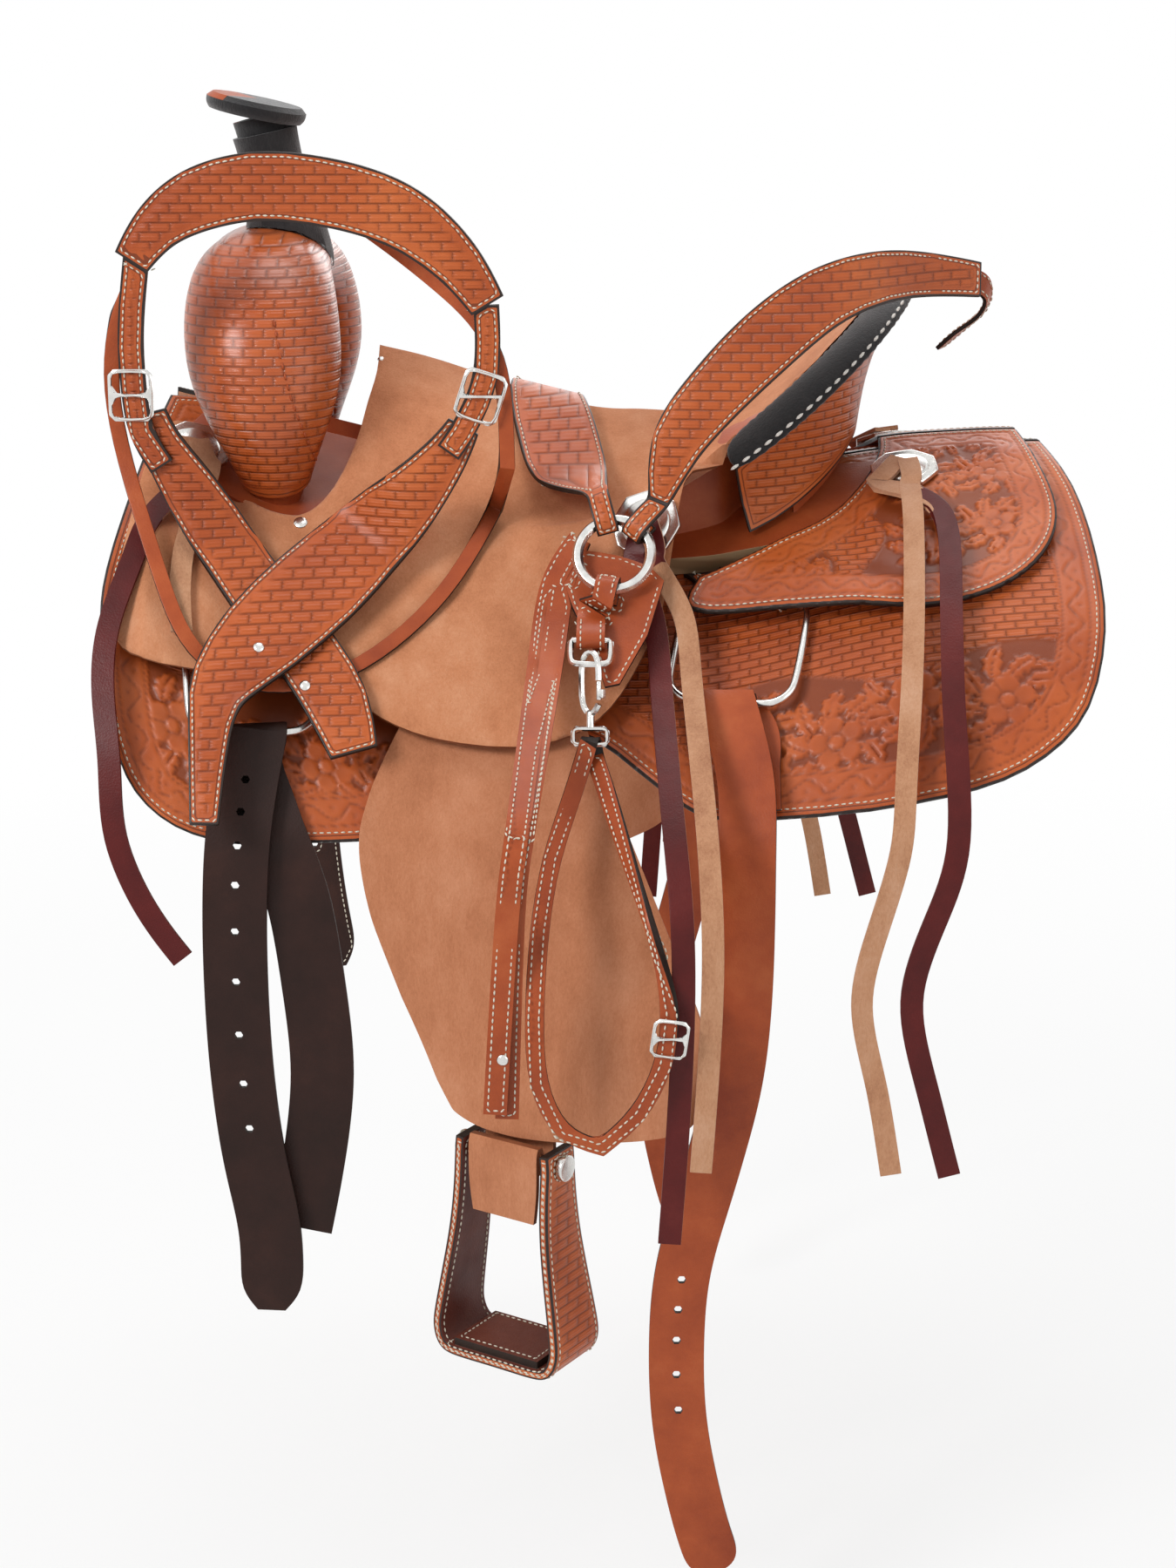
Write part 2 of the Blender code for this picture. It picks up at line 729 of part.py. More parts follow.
def forkRings(grow, skip=0):
    # Each ring: centre (y, z), half thickness across the arch and half depth along X
    half = [Vector(p) for p in forkPath[skip:]]
    full = half + [Vector((-p[0], p[1], p[2], p[3])) for p in half[-2::-1]]
    rings = []
    for i, (y, z, thick, deep) in enumerate(full):
        before = full[max(i - 1, 0)]
        after = full[min(i + 1, len(full) - 1)]
        tangent = Vector((0.0, after[0] - before[0], after[1] - before[1])).normalized()
        radial = Vector((0.0, -tangent.z, tangent.y))
        if z < forkPath[2][1] - 0.005:
            # The legs are cut along the slope of the bars
            slope = coverCut if radial.y * y < 0 else math.pi - coverCut
            radial = Vector((0.0, radial.y / abs(radial.y) * math.cos(coverCut), 0.0))
            radial.z = abs(math.sin(slope)) * (1.0 if radial.y * y < 0 else -1.0)
        ring = []
        for k in range(12):
            angle = 2 * math.pi * k / 12
            reach = Vector((math.cos(angle) * (deep + grow), 0, 0)) + radial * math.sin(angle) * (thick + grow)
            lean = -0.012 * (z - 0.05) / 0.16
            ring.append(Vector((forkX + 0.012 + lean, y, z)) + reach)
        rings.append(ring)
    return rings


def sleeveSolid(outer, inner):
    verts, faces = loftSolid(outer)
    innerVerts, innerFaces = loftSolid(inner)
    start = len(verts)
    count = len(outer[0])
    faces = faces[2:] + [[i + start for i in face[::-1]] for face in innerFaces[2:]]
    last = (len(outer) - 1) * count
    for k in range(count):
        m = (k + 1) % count
        faces.append([k, start + k, start + m, m])
        faces.append([last + k, last + m, start + last + m, start + last + k])
    return verts + innerVerts, faces


def buildFork():
    cover = sleeveSolid(forkRings(0.0, 1), forkRings(-coverLeather, 1))
    addNode("fork_cover", [cover], leatherTan, smooth=True)
    return loftSolid(forkRings(-coverLeather - fitGap))


def buildTree(cantle, fork):
    bars = treeBars()
    addNode("saddle_tree", [bars[0], groundSeat(), bars[1], fork, cantle], woodBare)


# Horn: leaning neck, flat cap and a suede wrap that leaves the front of the cap bare
def hornAxis(share):
    z = hornBaseZ - 0.012 + (hornTopZ - hornBaseZ + 0.012) * share
    return Vector((forkX + 0.0165 - hornLean * max(0.0, share), 0.0, z))


hornShares = [-0.17, -0.02, 0.15, 0.35, 0.55, 0.72, 0.86, 0.985]


def hornRings(grow, shares):
    rings = []
    for share in shares:
        flare = 0.008 * smoothStep((0.55 - share) / 0.55) + 0.002 * smoothStep((share - 0.7) / 0.3)
        radius = hornNeckRadius + flare + grow
        centre = hornAxis(share)
        tilt = math.radians(14) * share
        side = Vector((math.cos(tilt), 0, math.sin(tilt)))
        ring = []
        for k in range(12):
            angle = 2 * math.pi * k / 12
            ring.append(centre + radius * (math.cos(angle) * side + Vector((0, math.sin(angle), 0))))
        rings.append(ring)
    return rings


def capPlace():
    return frameAt(hornAxis(1.0) + Vector((-0.004, 0, 0.001)), (math.cos(math.radians(-12)), 0,
                   math.sin(math.radians(-12))), (0, 1, 0))


def buildHorn():
    neck = loftSolid(hornRings(0.0, hornShares))
    clearance = loftSolid(forkRings(fitGap))
    place = capPlace()
    half = hornCapThickness / 2
    lift = half - 0.002
    profile = [(0, -half + lift), (hornCapRadius - 0.003, -half + lift), (hornCapRadius, -half * 0.4 + lift),
               (hornCapRadius, half * 0.4 + lift), (hornCapRadius - 0.004, half + lift), (0, half + 0.001 + lift)]
    horn = addNode("horn", [neck, discSolid(place, profile, 20)], leatherTan, smooth=True)
    combine(horn, [clearance], 'DIFFERENCE')
    wrapped = hornShares[:-1]
    wrap = sleeveSolid(hornRings(wrapLeather + fitGap, wrapped), hornRings(fitGap, wrapped))
    wrapItem = addNode("horn_wrap", [wrap], leatherBlack, smooth=True)
    combine(wrapItem, [clearance], 'DIFFERENCE')


# Laying straps and hardware on a surface of the form
def tForHeight(surface, x, z, edge=0.385):
    low, high = 0.0, edge
    for _ in range(30):
        middle = (low + high) / 2
        if surface(x, -middle).z > z:
            low = middle
        else:
            high = middle
    return low


def surfaceFrame(x, t, surface, span=0.012):
    # Flat coordinates that touch the surface: u level, v up the slope, n outwards
    origin = surface(x, -t)
    down = surface(x, -(t + span)) - surface(x, -(t - span))
    along = surface(x + span, -t) - surface(x - span, -t)
    level = along - down * (along.z / down.z)
    return frameAt(origin, level, -down)


def folded(surface):
    return lambda x, t: foldedPoint(x, t, surface)


def placeAxis(place, u=1, n=0):
    return (place(u, 0, n) - place(0, 0, 0)).normalized()


def laid(surface, x, z, edge=0.385):
    # The point over (x, z) on the surface or hanging from its edge, with the way it faces
    t = tForHeight(surface, x, z, edge)
    point = surface(x, -t)
    facing = placeAxis(surfaceFrame(x, t, surface), 0, 1)
    if z < point.z - 0.002:
        facing = Vector((0, -1, 0))
    return Vector((x, point.y, z)), facing


# Rigging: leather plates on the skirts, with a loop that holds each dee ring
loopLeather = 0.003
wireLift = skirtLeather + layerGap + loopLeather + fitGap + wireRadius + 0.0011
ringLift = skirtLeather + layerGap + strapLeather + fitGap + wireRadius + 0.0024


def ringFrame(x, t):
    # The ring's plane: origin on its top bar, u level, v up the slope, n outwards
    middle = surfaceFrame(x, t + deeHeight / 2, layerSurface(wireLift), 0.03)
    top = foldedPoint(x, -t, layerSurface(wireLift))
    bottom = foldedPoint(x, -(t + deeHeight), layerSurface(ringLift))
    return frameAt(top, placeAxis(middle), top - bottom)


def plateSolid(x, top, bottom, halfTop, halfBottom):
    surface = layerSurface(skirtLeather)
    slope = (tForHeight(surface, x + 0.03, surface(x, -bottom).z)
             - tForHeight(surface, x - 0.03, surface(x, -bottom).z)) / 0.06
    outline = [(-halfTop, top), (-halfBottom, bottom - 0.010), (0.008 - halfBottom, bottom),
               (halfBottom - 0.008, bottom), (halfBottom, bottom - 0.010), (halfTop, top)]
    outline = [(x + u, t + slope * u * (t > top)) for u, t in outline]
    low = skirtLeather + layerGap
    return panelSolid(outline, layerSurface(low), layerSurface(low + riggingLeather))


def barLoop(place, width):
    # A folded strap round the ring's top bar: over the bar and back beneath it
    reach = wireRadius + fitGap + loopLeather / 2
    plateTop = skirtLeather + layerGap + riggingLeather + fitGap + loopLeather / 2 - wireLift
    path = [(0.032, plateTop - 0.0050), (0.024, plateTop - 0.0038), (0.010, reach * 0.7), (0.0, reach)]
    path += [(-reach * math.sin(a), reach * math.cos(a)) for a in (0.7, 1.57, 2.44)]
    path += [(0.0, -reach), (0.009, -reach)]
    points = [place(0.0, v, n) for v, n in path]
    return sweptStrap(points, [placeAxis(place)] * len(points), [width] * len(points), loopLeather)


def hangStrap(place, front, back, width, tip=0.020):
    # A strap folded over the ring's bottom bar: `front` and `back` are (x, z) runs downwards
    reach = (wireRadius + fitGap) / math.cos(0.31) + strapLeather / 2
    turn = [(place(0.0, -deeHeight + reach * math.sin(a), reach * math.cos(a)), placeAxis(place, 1))
            for a in (3.10, 2.48, 1.87, 1.26, 0.65, 0.04)]
    runs = []
    for run, lift in ((back[::-1], backLift), (front, frontLift)):
        points = []
        for x, z in run:
            point, facing = laid(folded(layerSurface(lift)), x, z)
            points.append((point, Vector((-facing.y, facing.x, 0))))
        runs.append(points)
    backRun = runs[0] + turn[:1]
    frontRun = turn[-1:] + runs[1]
    path = splinePoints([p for p, a in backRun], 2)[:-1] + [p for p, a in turn]
    path += splinePoints([p for p, a in frontRun], 3)[1:]
    across = splinePoints([a for p, a in backRun], 2)[:-1] + [a for p, a in turn]
    across += splinePoints([a for p, a in frontRun], 3)[1:]
    widths = [width] * (len(path) - 1) + [tip]
    return sweptStrap(path, across, widths, strapLeather), path


def holeCutters(path, places, radius=0.0032):
    # Punched holes: short bars through the strap at shares of its length
    cutters = []
    for share in places:
        spot = share * (len(path) - 1)
        index = min(int(spot), len(path) - 2)
        point = path[index].lerp(path[index + 1], spot - index)
        tangent = (path[index + 1] - path[index]).normalized()
        place = frameAt(point, (1, 0, 0), tangent)
        cutters.append(discSolid(place, [(0, -0.012), (radius, -0.012), (radius, 0.012), (0, 0.012)], 6))
    return cutters


backLift = skirtLeather + strapLeather / 2 + 0.0034
frontLift = backLift + 2 * (wireRadius + fitGap) + strapLeather + 0.001
latigoFront = [(-0.240, -0.128), (-0.245, -0.172), (-0.248, -0.240), (-0.2465, -0.320), (-0.240, -0.390),
               (-0.229, -0.455), (-0.230, -0.515)]
latigoBack = [(-0.238, -0.115), (-0.228, -0.140), (-0.218, -0.165), (-0.203, -0.205), (-0.194, -0.270),
              (-0.189, -0.335), (-0.197, -0.400), (-0.208, -0.455)]
billetFront = [(0.110, -0.118), (0.110, -0.170), (0.109, -0.260), (0.103, -0.330), (0.087, -0.400),
               (0.069, -0.470), (0.064, -0.530), (0.067, -0.600), (0.082, -0.675), (0.096, -0.718)]
billetBack = [(0.116, -0.095), (0.115, -0.112), (0.115, -0.128), (0.115, -0.142)]


def buildRigging():
    for name, x, t, half in (("front", frontDeeX, frontDeeT, 0.052), ("rear", rearDeeX, rearDeeT, 0.046)):
        place = ringFrame(x, t)
        plate = plateSolid(x, 0.131, t - 0.012, half, half - 0.004)
        bothSides(name + "_rigging", [nearSide(plate), barLoop(place, 0.056)], leatherTan)
        ring = wireRing(deePath(deeWidth, deeHeight, 0.022, place), wireRadius)
        bothSides(name + "_dee", [ring], nickel, pivot=place(0, 0, 0), smooth=True)


def buildGirthStraps():
    place = ringFrame(frontDeeX, frontDeeT)
    pivot = place(0, -deeHeight, 0)
    solid, path = hangStrap(place, latigoFront, latigoBack, latigoWidth)
    latigo = addNode("latigo", [solid], leatherDark, pivot)
    combine(latigo, holeCutters(path, [0.56 + 0.035 * k for k in range(9)]), 'DIFFERENCE')
    solid, path = hangStrap(place, latigoFront[:6], latigoBack[:5], latigoWidth)
    billet = addNode("off_billet", [mirrored(solid)], leatherDark, (pivot[0], -pivot[1], pivot[2]))
    holes = [mirrored(c) for c in holeCutters(path, [0.66 + 0.045 * k for k in range(5)])]
    combine(billet, holes, 'DIFFERENCE')
    place = ringFrame(rearDeeX, rearDeeT)
    solid, path = hangStrap(place, billetFront, billetBack, billetWidth)
    bothSides("rear_billet", [solid], leatherTan, place(0, -deeHeight, 0),
              cutters=holeCutters(path, [0.735 + 0.028 * k for k in range(5)]))


# Fender on its stirrup leather, and the stirrup on its bolt
fenderOutline = [(-0.092, 0.200), (-0.116, 0.240), (-0.141, 0.293), (-0.160, 0.350), (-0.158, 0.395),
                 (-0.146, 0.442), (-0.122, 0.500), (-0.098, 0.545), (-0.060, 0.553), (-0.010, 0.550),
                 (0.050, 0.540), (0.084, 0.530), (0.092, 0.500), (0.089, 0.470), (0.066, 0.426),
                 (0.036, 0.361), (0.014, 0.306), (-0.006, 0.250), (-0.010, 0.210)]


def twisted(angle, centreX=fenderPivotX, centreY=-0.325):
    cosine = math.cos(angle)
    sine = math.sin(angle)

    def turn(point):
        u = point.x - centreX
        v = point.y - centreY
        return Vector((centreX + u * cosine + v * sine, centreY - u * sine + v * cosine, point.z))
    return turn


def fenderWarp(point, x, t):
    # The lower fender turns its rear edge outwards with the stirrup
    angle = fenderTwist * smoothStep((t - 0.33) / 0.20)
    near = Vector((point.x, -point.y, point.z))
    centreY = formPoint(fenderPivotX, -t, fenderLift).y
    return mirroredPoint(twisted(angle, centreY=centreY)(near))


def mirroredPoint(point):
    return Vector((point.x, -point.y, point.z))


def fenderPivot():
    return formPoint(fenderPivotX, -fenderPivotT, fenderLift)


def buildFenders():
    top = []
    for k in range(9):
        angle = math.radians(200 + 140 * k / 8)
        top.append((fenderPivotX - fenderTopRadius * math.cos(angle - math.pi),
                    fenderPivotT - fenderTopRadius * math.sin(angle - math.pi)))
    outline = [(p.x, p.y) for p in splinePoints([Vector(p) for p in fenderOutline[::-1]], 2)]
    outline += [(x, t) for x, t in sorted(top)]
    solid = panelSolid(outline, layerSurface(fenderLift), layerSurface(fenderLift + fenderLeather), fenderWarp)
    bothSides("fender", [nearSide(solid)], leatherRough, fenderPivot())


def stirrupFrame():
    origin = Vector((fenderPivotX - 0.002, stirrupY, stirrupTopZ))
    along = Vector((math.cos(stirrupTwist), -math.sin(stirrupTwist), 0.0))
    return frameAt(origin, along, (0, 0, 1)), along


def stirrupOutline():
    # Half of the band's middle line, from above the bolt down to the middle of the tread
    top = stirrupHalfTop
    low = stirrupHalfBottom
    deep = stirrupHeight
    return [(top - 0.001, 0.012), (top, 0.0), (top, -0.15 * deep), (top + 0.002, -0.36 * deep),
            (low - 0.006, -0.60 * deep), (low - 0.001, -0.80 * deep), (low, -0.90 * deep),
            (low - 0.005, -0.98 * deep), (low - 0.016, -deep), (0.012, -deep)]


def buildStirrups():
    place, along = stirrupFrame()
    depthWay = Vector((0, 0, 1)).cross(along)
    half = stirrupOutline()
    flat = half + [(-u, v) for u, v in half[::-1]]
    path = splinePoints([place(u, v, 0.0) for u, v in flat], 2)
    widths = []
    for point in path:
        depth = min(1.0, max(0.0, (stirrupTopZ - point.z) / stirrupHeight))
        widths.append(stirrupDepthTop + (stirrupDepthBottom - stirrupDepthTop) * depth)
    band = sweptStrap(path, [depthWay] * len(path), widths, stirrupWall)
    pivot = place(0, 0, 0)
    cutter = discTo(place, boltRadius + fitGap, 0.062)
    treadTop = -stirrupHeight + stirrupWall / 2 + 0.006
    tread = boxSolid(place, (-stirrupHalfBottom + 0.014, -stirrupHeight - 0.0005, -0.026),
                     (stirrupHalfBottom - 0.014, treadTop, 0.026))
    bothSides("stirrup", [band, tread], leatherTan, pivot, cutters=[cutter])
    inside = stirrupHalfTop + stirrupWall / 2 + fitGap
    profile = [(0, -inside - 0.005), (boltHeadRadius, -inside - 0.005), (boltHeadRadius, -inside),
               (boltRadius, -inside), (boltRadius, inside), (boltHeadRadius, inside),
               (boltHeadRadius, inside + 0.005), (0, inside + 0.005)]
    bothSides("stirrup_bolt", [discSolid(frameAt(pivot, (0, 0, 1), depthWay), profile, 12)], nickel, pivot,
              smooth=True)
    reach = (boltRadius + fitGap) / math.cos(0.27) + strapLeather / 2
    turn = [(-reach * math.cos(a), -reach * math.sin(a)) for a in (0.0, 0.52, 1.05, 1.57, 2.09, 2.62, 3.14)]
    outer = reach + strapLeather + fitGap
    ply = [(-reach, 0.085), (-reach, 0.030)] + turn + [(reach, 0.010), (reach + 0.0010, 0.0135)]
    ply += [(outer - 0.0005, 0.0135), (outer + 0.001, 0.010), (outer + 0.001, 0.0), (outer + 0.001, -0.020),
            (outer + 0.0005, -0.042)]
    points = [place(0.0, v, n) for n, v in ply]
    leather = sweptStrap(points, [along] * len(points), [0.058] * (len(points) - 1) + [0.052], strapLeather)
    bothSides("stirrup_leather", [leather], leatherRough, fenderPivot())


def discTo(place, radius, halfLength):
    low = place(-halfLength, 0, 0)
    high = place(halfLength, 0, 0)
    direction = (high - low).normalized()
    frame = frameAt((low + high) / 2, (0, 0, 1), Vector((0, 0, 1)).cross(direction))
    return discSolid(frame, [(0, -halfLength), (radius, -halfLength), (radius, halfLength), (0, halfLength)], 12)


# Saddle strings: two thongs from each concho, which sits on a scalloped rosette
stringRuns = {
    "front": [[(-0.314, 0.046), (-0.324, 0.018), (-0.338, -0.021), (-0.340, -0.059), (-0.333, -0.105), (-0.330, -0.158),
               (-0.309, -0.209), (-0.284, -0.244)],
              [(-0.290, 0.022), (-0.286, -0.025)]],
    "middle": [[(0.048, -0.024), (0.052, -0.070)], [(0.069, -0.020), (0.073, -0.060)]],
    "rear": [[(0.258, 0.048), (0.257, 0.001), (0.253, -0.067), (0.255, -0.151), (0.239, -0.208),
              (0.223, -0.266), (0.238, -0.332), (0.255, -0.396)],
             [(0.236, 0.040), (0.228, -0.035), (0.219, -0.112), (0.215, -0.158), (0.200, -0.215),
              (0.189, -0.270), (0.203, -0.332), (0.214, -0.396)]],
}
middleFalls = [[(0.058, -0.332, -0.135), (0.064, -0.380, -0.200), (0.063, -0.3835, -0.302), (0.056, -0.3835, -0.419)],
               [(0.080, -0.332, -0.128), (0.084, -0.380, -0.202), (0.082, -0.3835, -0.283), (0.077, -0.3835, -0.366)]]
stringSides = {"front": (-0.0115, 0.0005), "middle": (-0.002, 0.014), "rear": (-0.011, 0.011)}
stringClear = stringLeather / 2 + 0.0032
conchoHeight = 0.0074


def seatedFrame(x, t, surface, radius):
    # The frame lifted until a disc of this radius just clears the folded surface
    place = surfaceFrame(x, t, surface, 0.02)
    origin = place(0, 0, 0)
    normal = placeAxis(place, 0, 1)
    lift = 0.0
    for k in range(24):
        angle = 2 * math.pi * k / 24
        for share in (0.0, 0.5, 1.0):
            u = share * radius * math.cos(angle)
            v = share * radius * math.sin(angle)
            spot = place(u, v, 0)
            t1 = tForHeight(surface, spot.x, spot.z)
            lift = max(lift, (foldedPoint(spot.x, -t1, surface) - origin).dot(normal))
    return lambda u, v, n=0.0: place(u, v, n + lift + 0.0004)


def conchoFrame(name):
    if name == "front":
        return seatedFrame(-0.291, 0.093, seatSurface(jockeyLeather), rosetteRadius)
    if name == "middle":
        return seatedFrame(0.043, 0.152, seatSurface(jockeyLeather), rosetteRadius)
    return seatedFrame(0.236, 0.064, layerSurface(rearJockeyTop), rosetteRadius)


def buildConchos():
    over = folded(seatSurface(jockeyLeather + stringClear))
    behind = folded(layerSurface(lambda x, t: max(rearJockeyTop(x, t), jockeyLift) + stringClear))
    for name, runs in stringRuns.items():
        place = conchoFrame(name)
        rosette = discSolid(place, [(0, 0), (rosetteRadius, 0), (rosetteRadius, 0.0034), (0, 0.0034)],
                            16, scallop=0.06)
        dome = discSolid(place, [(0, 0.001), (conchoRadius, 0.001), (conchoRadius, 0.0044),
                                 (conchoRadius * 0.5, 0.0068), (0, conchoHeight)], 16)
        bothSides("concho_" + name, [rosette, dome], nickel)
        normal = placeAxis(place, 0, 1)
        solids = []
        for number, run in enumerate(runs):
            side = stringSides[name][number]
            height = conchoHeight + stringLeather / 2 + fitGap + 0.0016 * number
            width = stringWidth * (1.0 - 0.06 * number)
            points = [place(side * 0.3, 0.002 - 0.0035 * number, height),
                      place(side, -rosetteRadius * 0.82, height - 0.0018),
                      place(side, -rosetteRadius * 1.2, height - 0.0040)]
            facing = [normal, normal, normal]
            for x, z in run:
                point, look = laid(behind if name == "rear" else over, x, z)
                points.append(point)
                facing.append(look)
            if name == "middle":
                points += [Vector(p) for p in middleFalls[number]]
                facing += [Vector((0, -1, 0))] * len(middleFalls[number])
            solids.append(ribbon([(*p, width) for p in points], stringLeather, 2, facing))
        bothSides("strings_" + name, solids, leatherRed)


# Headstall, hung by its throat strap behind the horn
crownPath = [(-0.317, 0.228, 0.026), (-0.300, 0.251, 0.034), (-0.272, 0.270, 0.044), (-0.231, 0.280, 0.047),
             (-0.188, 0.277, 0.047), (-0.147, 0.267, 0.046), (-0.116, 0.251, 0.042), (-0.088, 0.225, 0.034),
             (-0.070, 0.198, 0.026)]
crownY = -0.178
billetY = -0.1737
tackLeather = 0.0045
thinLeather = 0.0035
leftBillet = [(-0.3135, -0.1762, 0.233), (-0.319, billetY, 0.196), (-0.321, billetY, 0.169),
              (-0.320, billetY, 0.139), (-0.317, billetY, 0.108), (-0.302, billetY, 0.084)]
rightBillet = [(-0.071, -0.1762, 0.198), (-0.070, billetY, 0.174), (-0.071, billetY, 0.150),
               (-0.078, billetY, 0.129), (-0.089, billetY, 0.108), (-0.099, billetY, 0.094)]
cheekY = -0.1690
leftCheekTop = [(-0.310, cheekY, 0.122, 0.024), (-0.303, cheekY, 0.100, 0.030), (-0.283, cheekY, 0.066, 0.040)]
leftCheekLow = [(-0.253, 0.020, 0.046), (-0.223, -0.014, 0.048), (-0.197, -0.042, 0.048),
                (-0.176, -0.071, 0.046), (-0.163, -0.102, 0.034)]
rightCheekTop = [(-0.088, cheekY, 0.112, 0.024), (-0.100, cheekY, 0.092, 0.032), (-0.125, cheekY, 0.062, 0.046)]
rightCheekLow = [(-0.157, 0.030, 0.062), (-0.193, 0.001, 0.070), (-0.229, -0.028, 0.064),
                 (-0.255, -0.056, 0.046), (-0.262, -0.084, 0.030), (-0.262, -0.138, 0.020)]
throatUpper = [(-0.334, -0.160, 0.100), (-0.338, -0.168, 0.150), (-0.330, -0.170, 0.190), (-0.319, -0.168, 0.214),
               (-0.306, -0.120, 0.238), (-0.301, -0.040, 0.249), (-0.292, 0.020, 0.254), (-0.250, 0.0465, 0.256),
               (-0.204, 0.028, 0.255), (-0.186, -0.030, 0.251), (-0.142, -0.120, 0.234), (-0.104, -0.160, 0.210),
               (-0.078, -0.169, 0.188), (-0.062, -0.170, 0.160), (-0.058, -0.170, 0.126), (-0.057, -0.172, 0.083)]
throatLower = [(-0.067, 0.045, 0.003), (-0.095, -0.001, 0.0), (-0.129, -0.032, 0.0), (-0.170, -0.056, 0.0),
               (-0.215, -0.064, 0.0), (-0.255, -0.056, 0.0), (-0.284, -0.030, 0.0065), (-0.300, 0.006, 0.0085),
               (-0.316, 0.045, 0.016)]
throatWidth = 0.011
throatLeather = 0.003


def strapOver(top, low, clearance, thickness, flare=0.0, steps=2):
    # A strap whose upper points are given in space and whose lower ones lie over the jockey
    surface = folded(seatSurface(jockeyLeather + clearance))
    points = [Vector(p) for p in top]
    facing = [Vector((0, -1, 0))] * len(points)
    for number, (x, z, width) in enumerate(low):
        point, look = laid(surface, x, z, 0.36)
        away = flare * max(0, number - len(low) + 4) ** 1.5
        points.append(Vector((*(point + look * away), width)))
        facing.append(look)
    return ribbon(points, thickness, steps, facing)


def buckleSolids(centre, halfWidth, halfHeight, radius, lean=0.0):
    # A rectangular wire frame with a tongue across its middle
    up = Vector((math.sin(lean), 0, math.cos(lean)))
    place = frameAt(centre, (math.cos(lean), 0, -math.sin(lean)), up)
    corner = radius * 2
    path = []
    for a, b in ((1, 1), (-1, 1), (-1, -1), (1, -1)):
        first = (a * halfWidth, b * (halfHeight - corner))
        second = (a * (halfWidth - corner), b * halfHeight)
        path += [first, second] if a * b > 0 else [second, first]
    ring = wireRing([place(u, v, 0) for u, v in path], radius)
    bar = discTo(place, radius * 0.9, halfWidth)
    return [ring, bar]


def buildHeadstall():
    crown = ribbon([(x, crownY, z, w) for x, z, w in crownPath], tackLeather, 2)
    left = ribbon([(*p, 0.018) for p in leftBillet], thinLeather, 1)
    right = ribbon([(*p, 0.018) for p in rightBillet], thinLeather, 1)
    addNode("headstall_crown", [crown, left, right], leatherTan, headstallPivot)
    addNode("cheek_left", [strapOver(leftCheekTop, leftCheekLow, 0.0082, tackLeather)], leatherTan, headstallPivot)
    addNode("cheek_right", [strapOver(rightCheekTop, rightCheekLow, 0.0150, tackLeather, 0.0050)], leatherTan,
            headstallPivot)
    points = [Vector(p) for p in throatUpper]
    facing = []
    for i, point in enumerate(points):
        ahead = points[min(i + 1, len(points) - 1)] - points[max(i - 1, 0)]
        facing.append(Vector((ahead.y, -ahead.x, 0)).normalized() if 3 <= i <= 12 else Vector((0, -1, 0)))
    for x, z, extra in throatLower:
        surface = folded(seatSurface(jockeyLeather + throatLeather / 2 + 0.0010 + extra))
        point, look = laid(surface, x, z, 0.36)
        points.append(point)
        facing.append(look)
    points = [Vector((*p, throatWidth)) for p in points]
    addNode("throat_strap", [loopedStrap(points, facing, throatLeather)], leatherTan, headstallPivot)
    place = buckleSolids((-0.3215, billetY - 0.0036, 0.135), 0.0145, 0.017, 0.0014)
    addNode("cheek_buckle_left", place, nickel, headstallPivot)
    place = buckleSolids((-0.0755, billetY - 0.0036, 0.134), 0.0145, 0.017, 0.0014, math.radians(18))
    addNode("cheek_buckle_right", place, nickel, headstallPivot)


def loopedStrap(points, facing, thickness):
    # A strap that closes on itself
    path = [Vector(p[:3]) for p in points]
    count = len(path)
    verts = []
    for i in range(count):
        tangent = (path[(i + 1) % count] - path[i - 1]).normalized()
        wide = tangent.cross(facing[i]).normalized()
        normal = wide.cross(tangent).normalized()
        w = 0.5 * points[i][3] * wide
        n = 0.5 * thickness * normal
        verts += [path[i] - w - n, path[i] + w - n, path[i] + w + n, path[i] - w + n]
    faces = []
    for i in range(count):
        m = (i + 1) % count
        for k in range(4):
            j = (k + 1) % 4
            faces.append([4 * i + k, 4 * m + k, 4 * m + j])
            faces.append([4 * i + k, 4 * m + j, 4 * i + j])
    return verts, faces


# Breast collar, laid over the seat and cantle
headstallPivot = (-0.230, 0.0, 0.256)
collarPivot = (0.0, 0.0, 0.128)
gussetLift = jockeyLeather + 0.0225
gussetLeather = 0.003
collarRingRadius = 0.0265
collarWire = 0.0042
collarLoopWidth = 0.016
gussetOutline = [(-0.016, 0.160), (-0.018, 0.170), (-0.012, 0.193), (0.002, 0.220), (0.012, 0.252),
                 (0.022, 0.250), (0.042, 0.215), (0.054, 0.180), (0.043, 0.174), (0.024, 0.166)]
nearArm = [(-0.012, -0.096, 0.054), (-0.021, -0.060, 0.062), (-0.028, -0.026, 0.062), (-0.031, 0.006, 0.056),
           (-0.026, 0.036, 0.044), (-0.015, 0.070, 0.034), (-0.002, 0.100, 0.028), (0.008, 0.135, 0.026)]
longArm = [(0.062, -0.176, 0.100, 0.038), (0.088, -0.172, 0.134, 0.044), (0.127, -0.162, 0.172, 0.048),
           (0.168, -0.142, 0.200, 0.044), (0.212, -0.105, 0.210, 0.038), (0.252, -0.066, 0.207, 0.032),
           (0.290, -0.046, 0.201, 0.026)]
tugPath = [(0.2740, -0.0485, 0.2010, 0.018), (0.2892, -0.0405, 0.1990, 0.018), (0.298, -0.034, 0.190, 0.018),
           (0.295, -0.026, 0.175, 0.018), (0.280, -0.015, 0.160, 0.018), (0.266, -0.008, 0.146, 0.016)]
tugFacing = [(0.2, -1, 0.3), (0.3, -1, 0.3), (1, -0.6, 0.3), (1, -0.4, -0.3), (0.8, -0.4, -0.6), (0.7, -0.3, -0.7)]
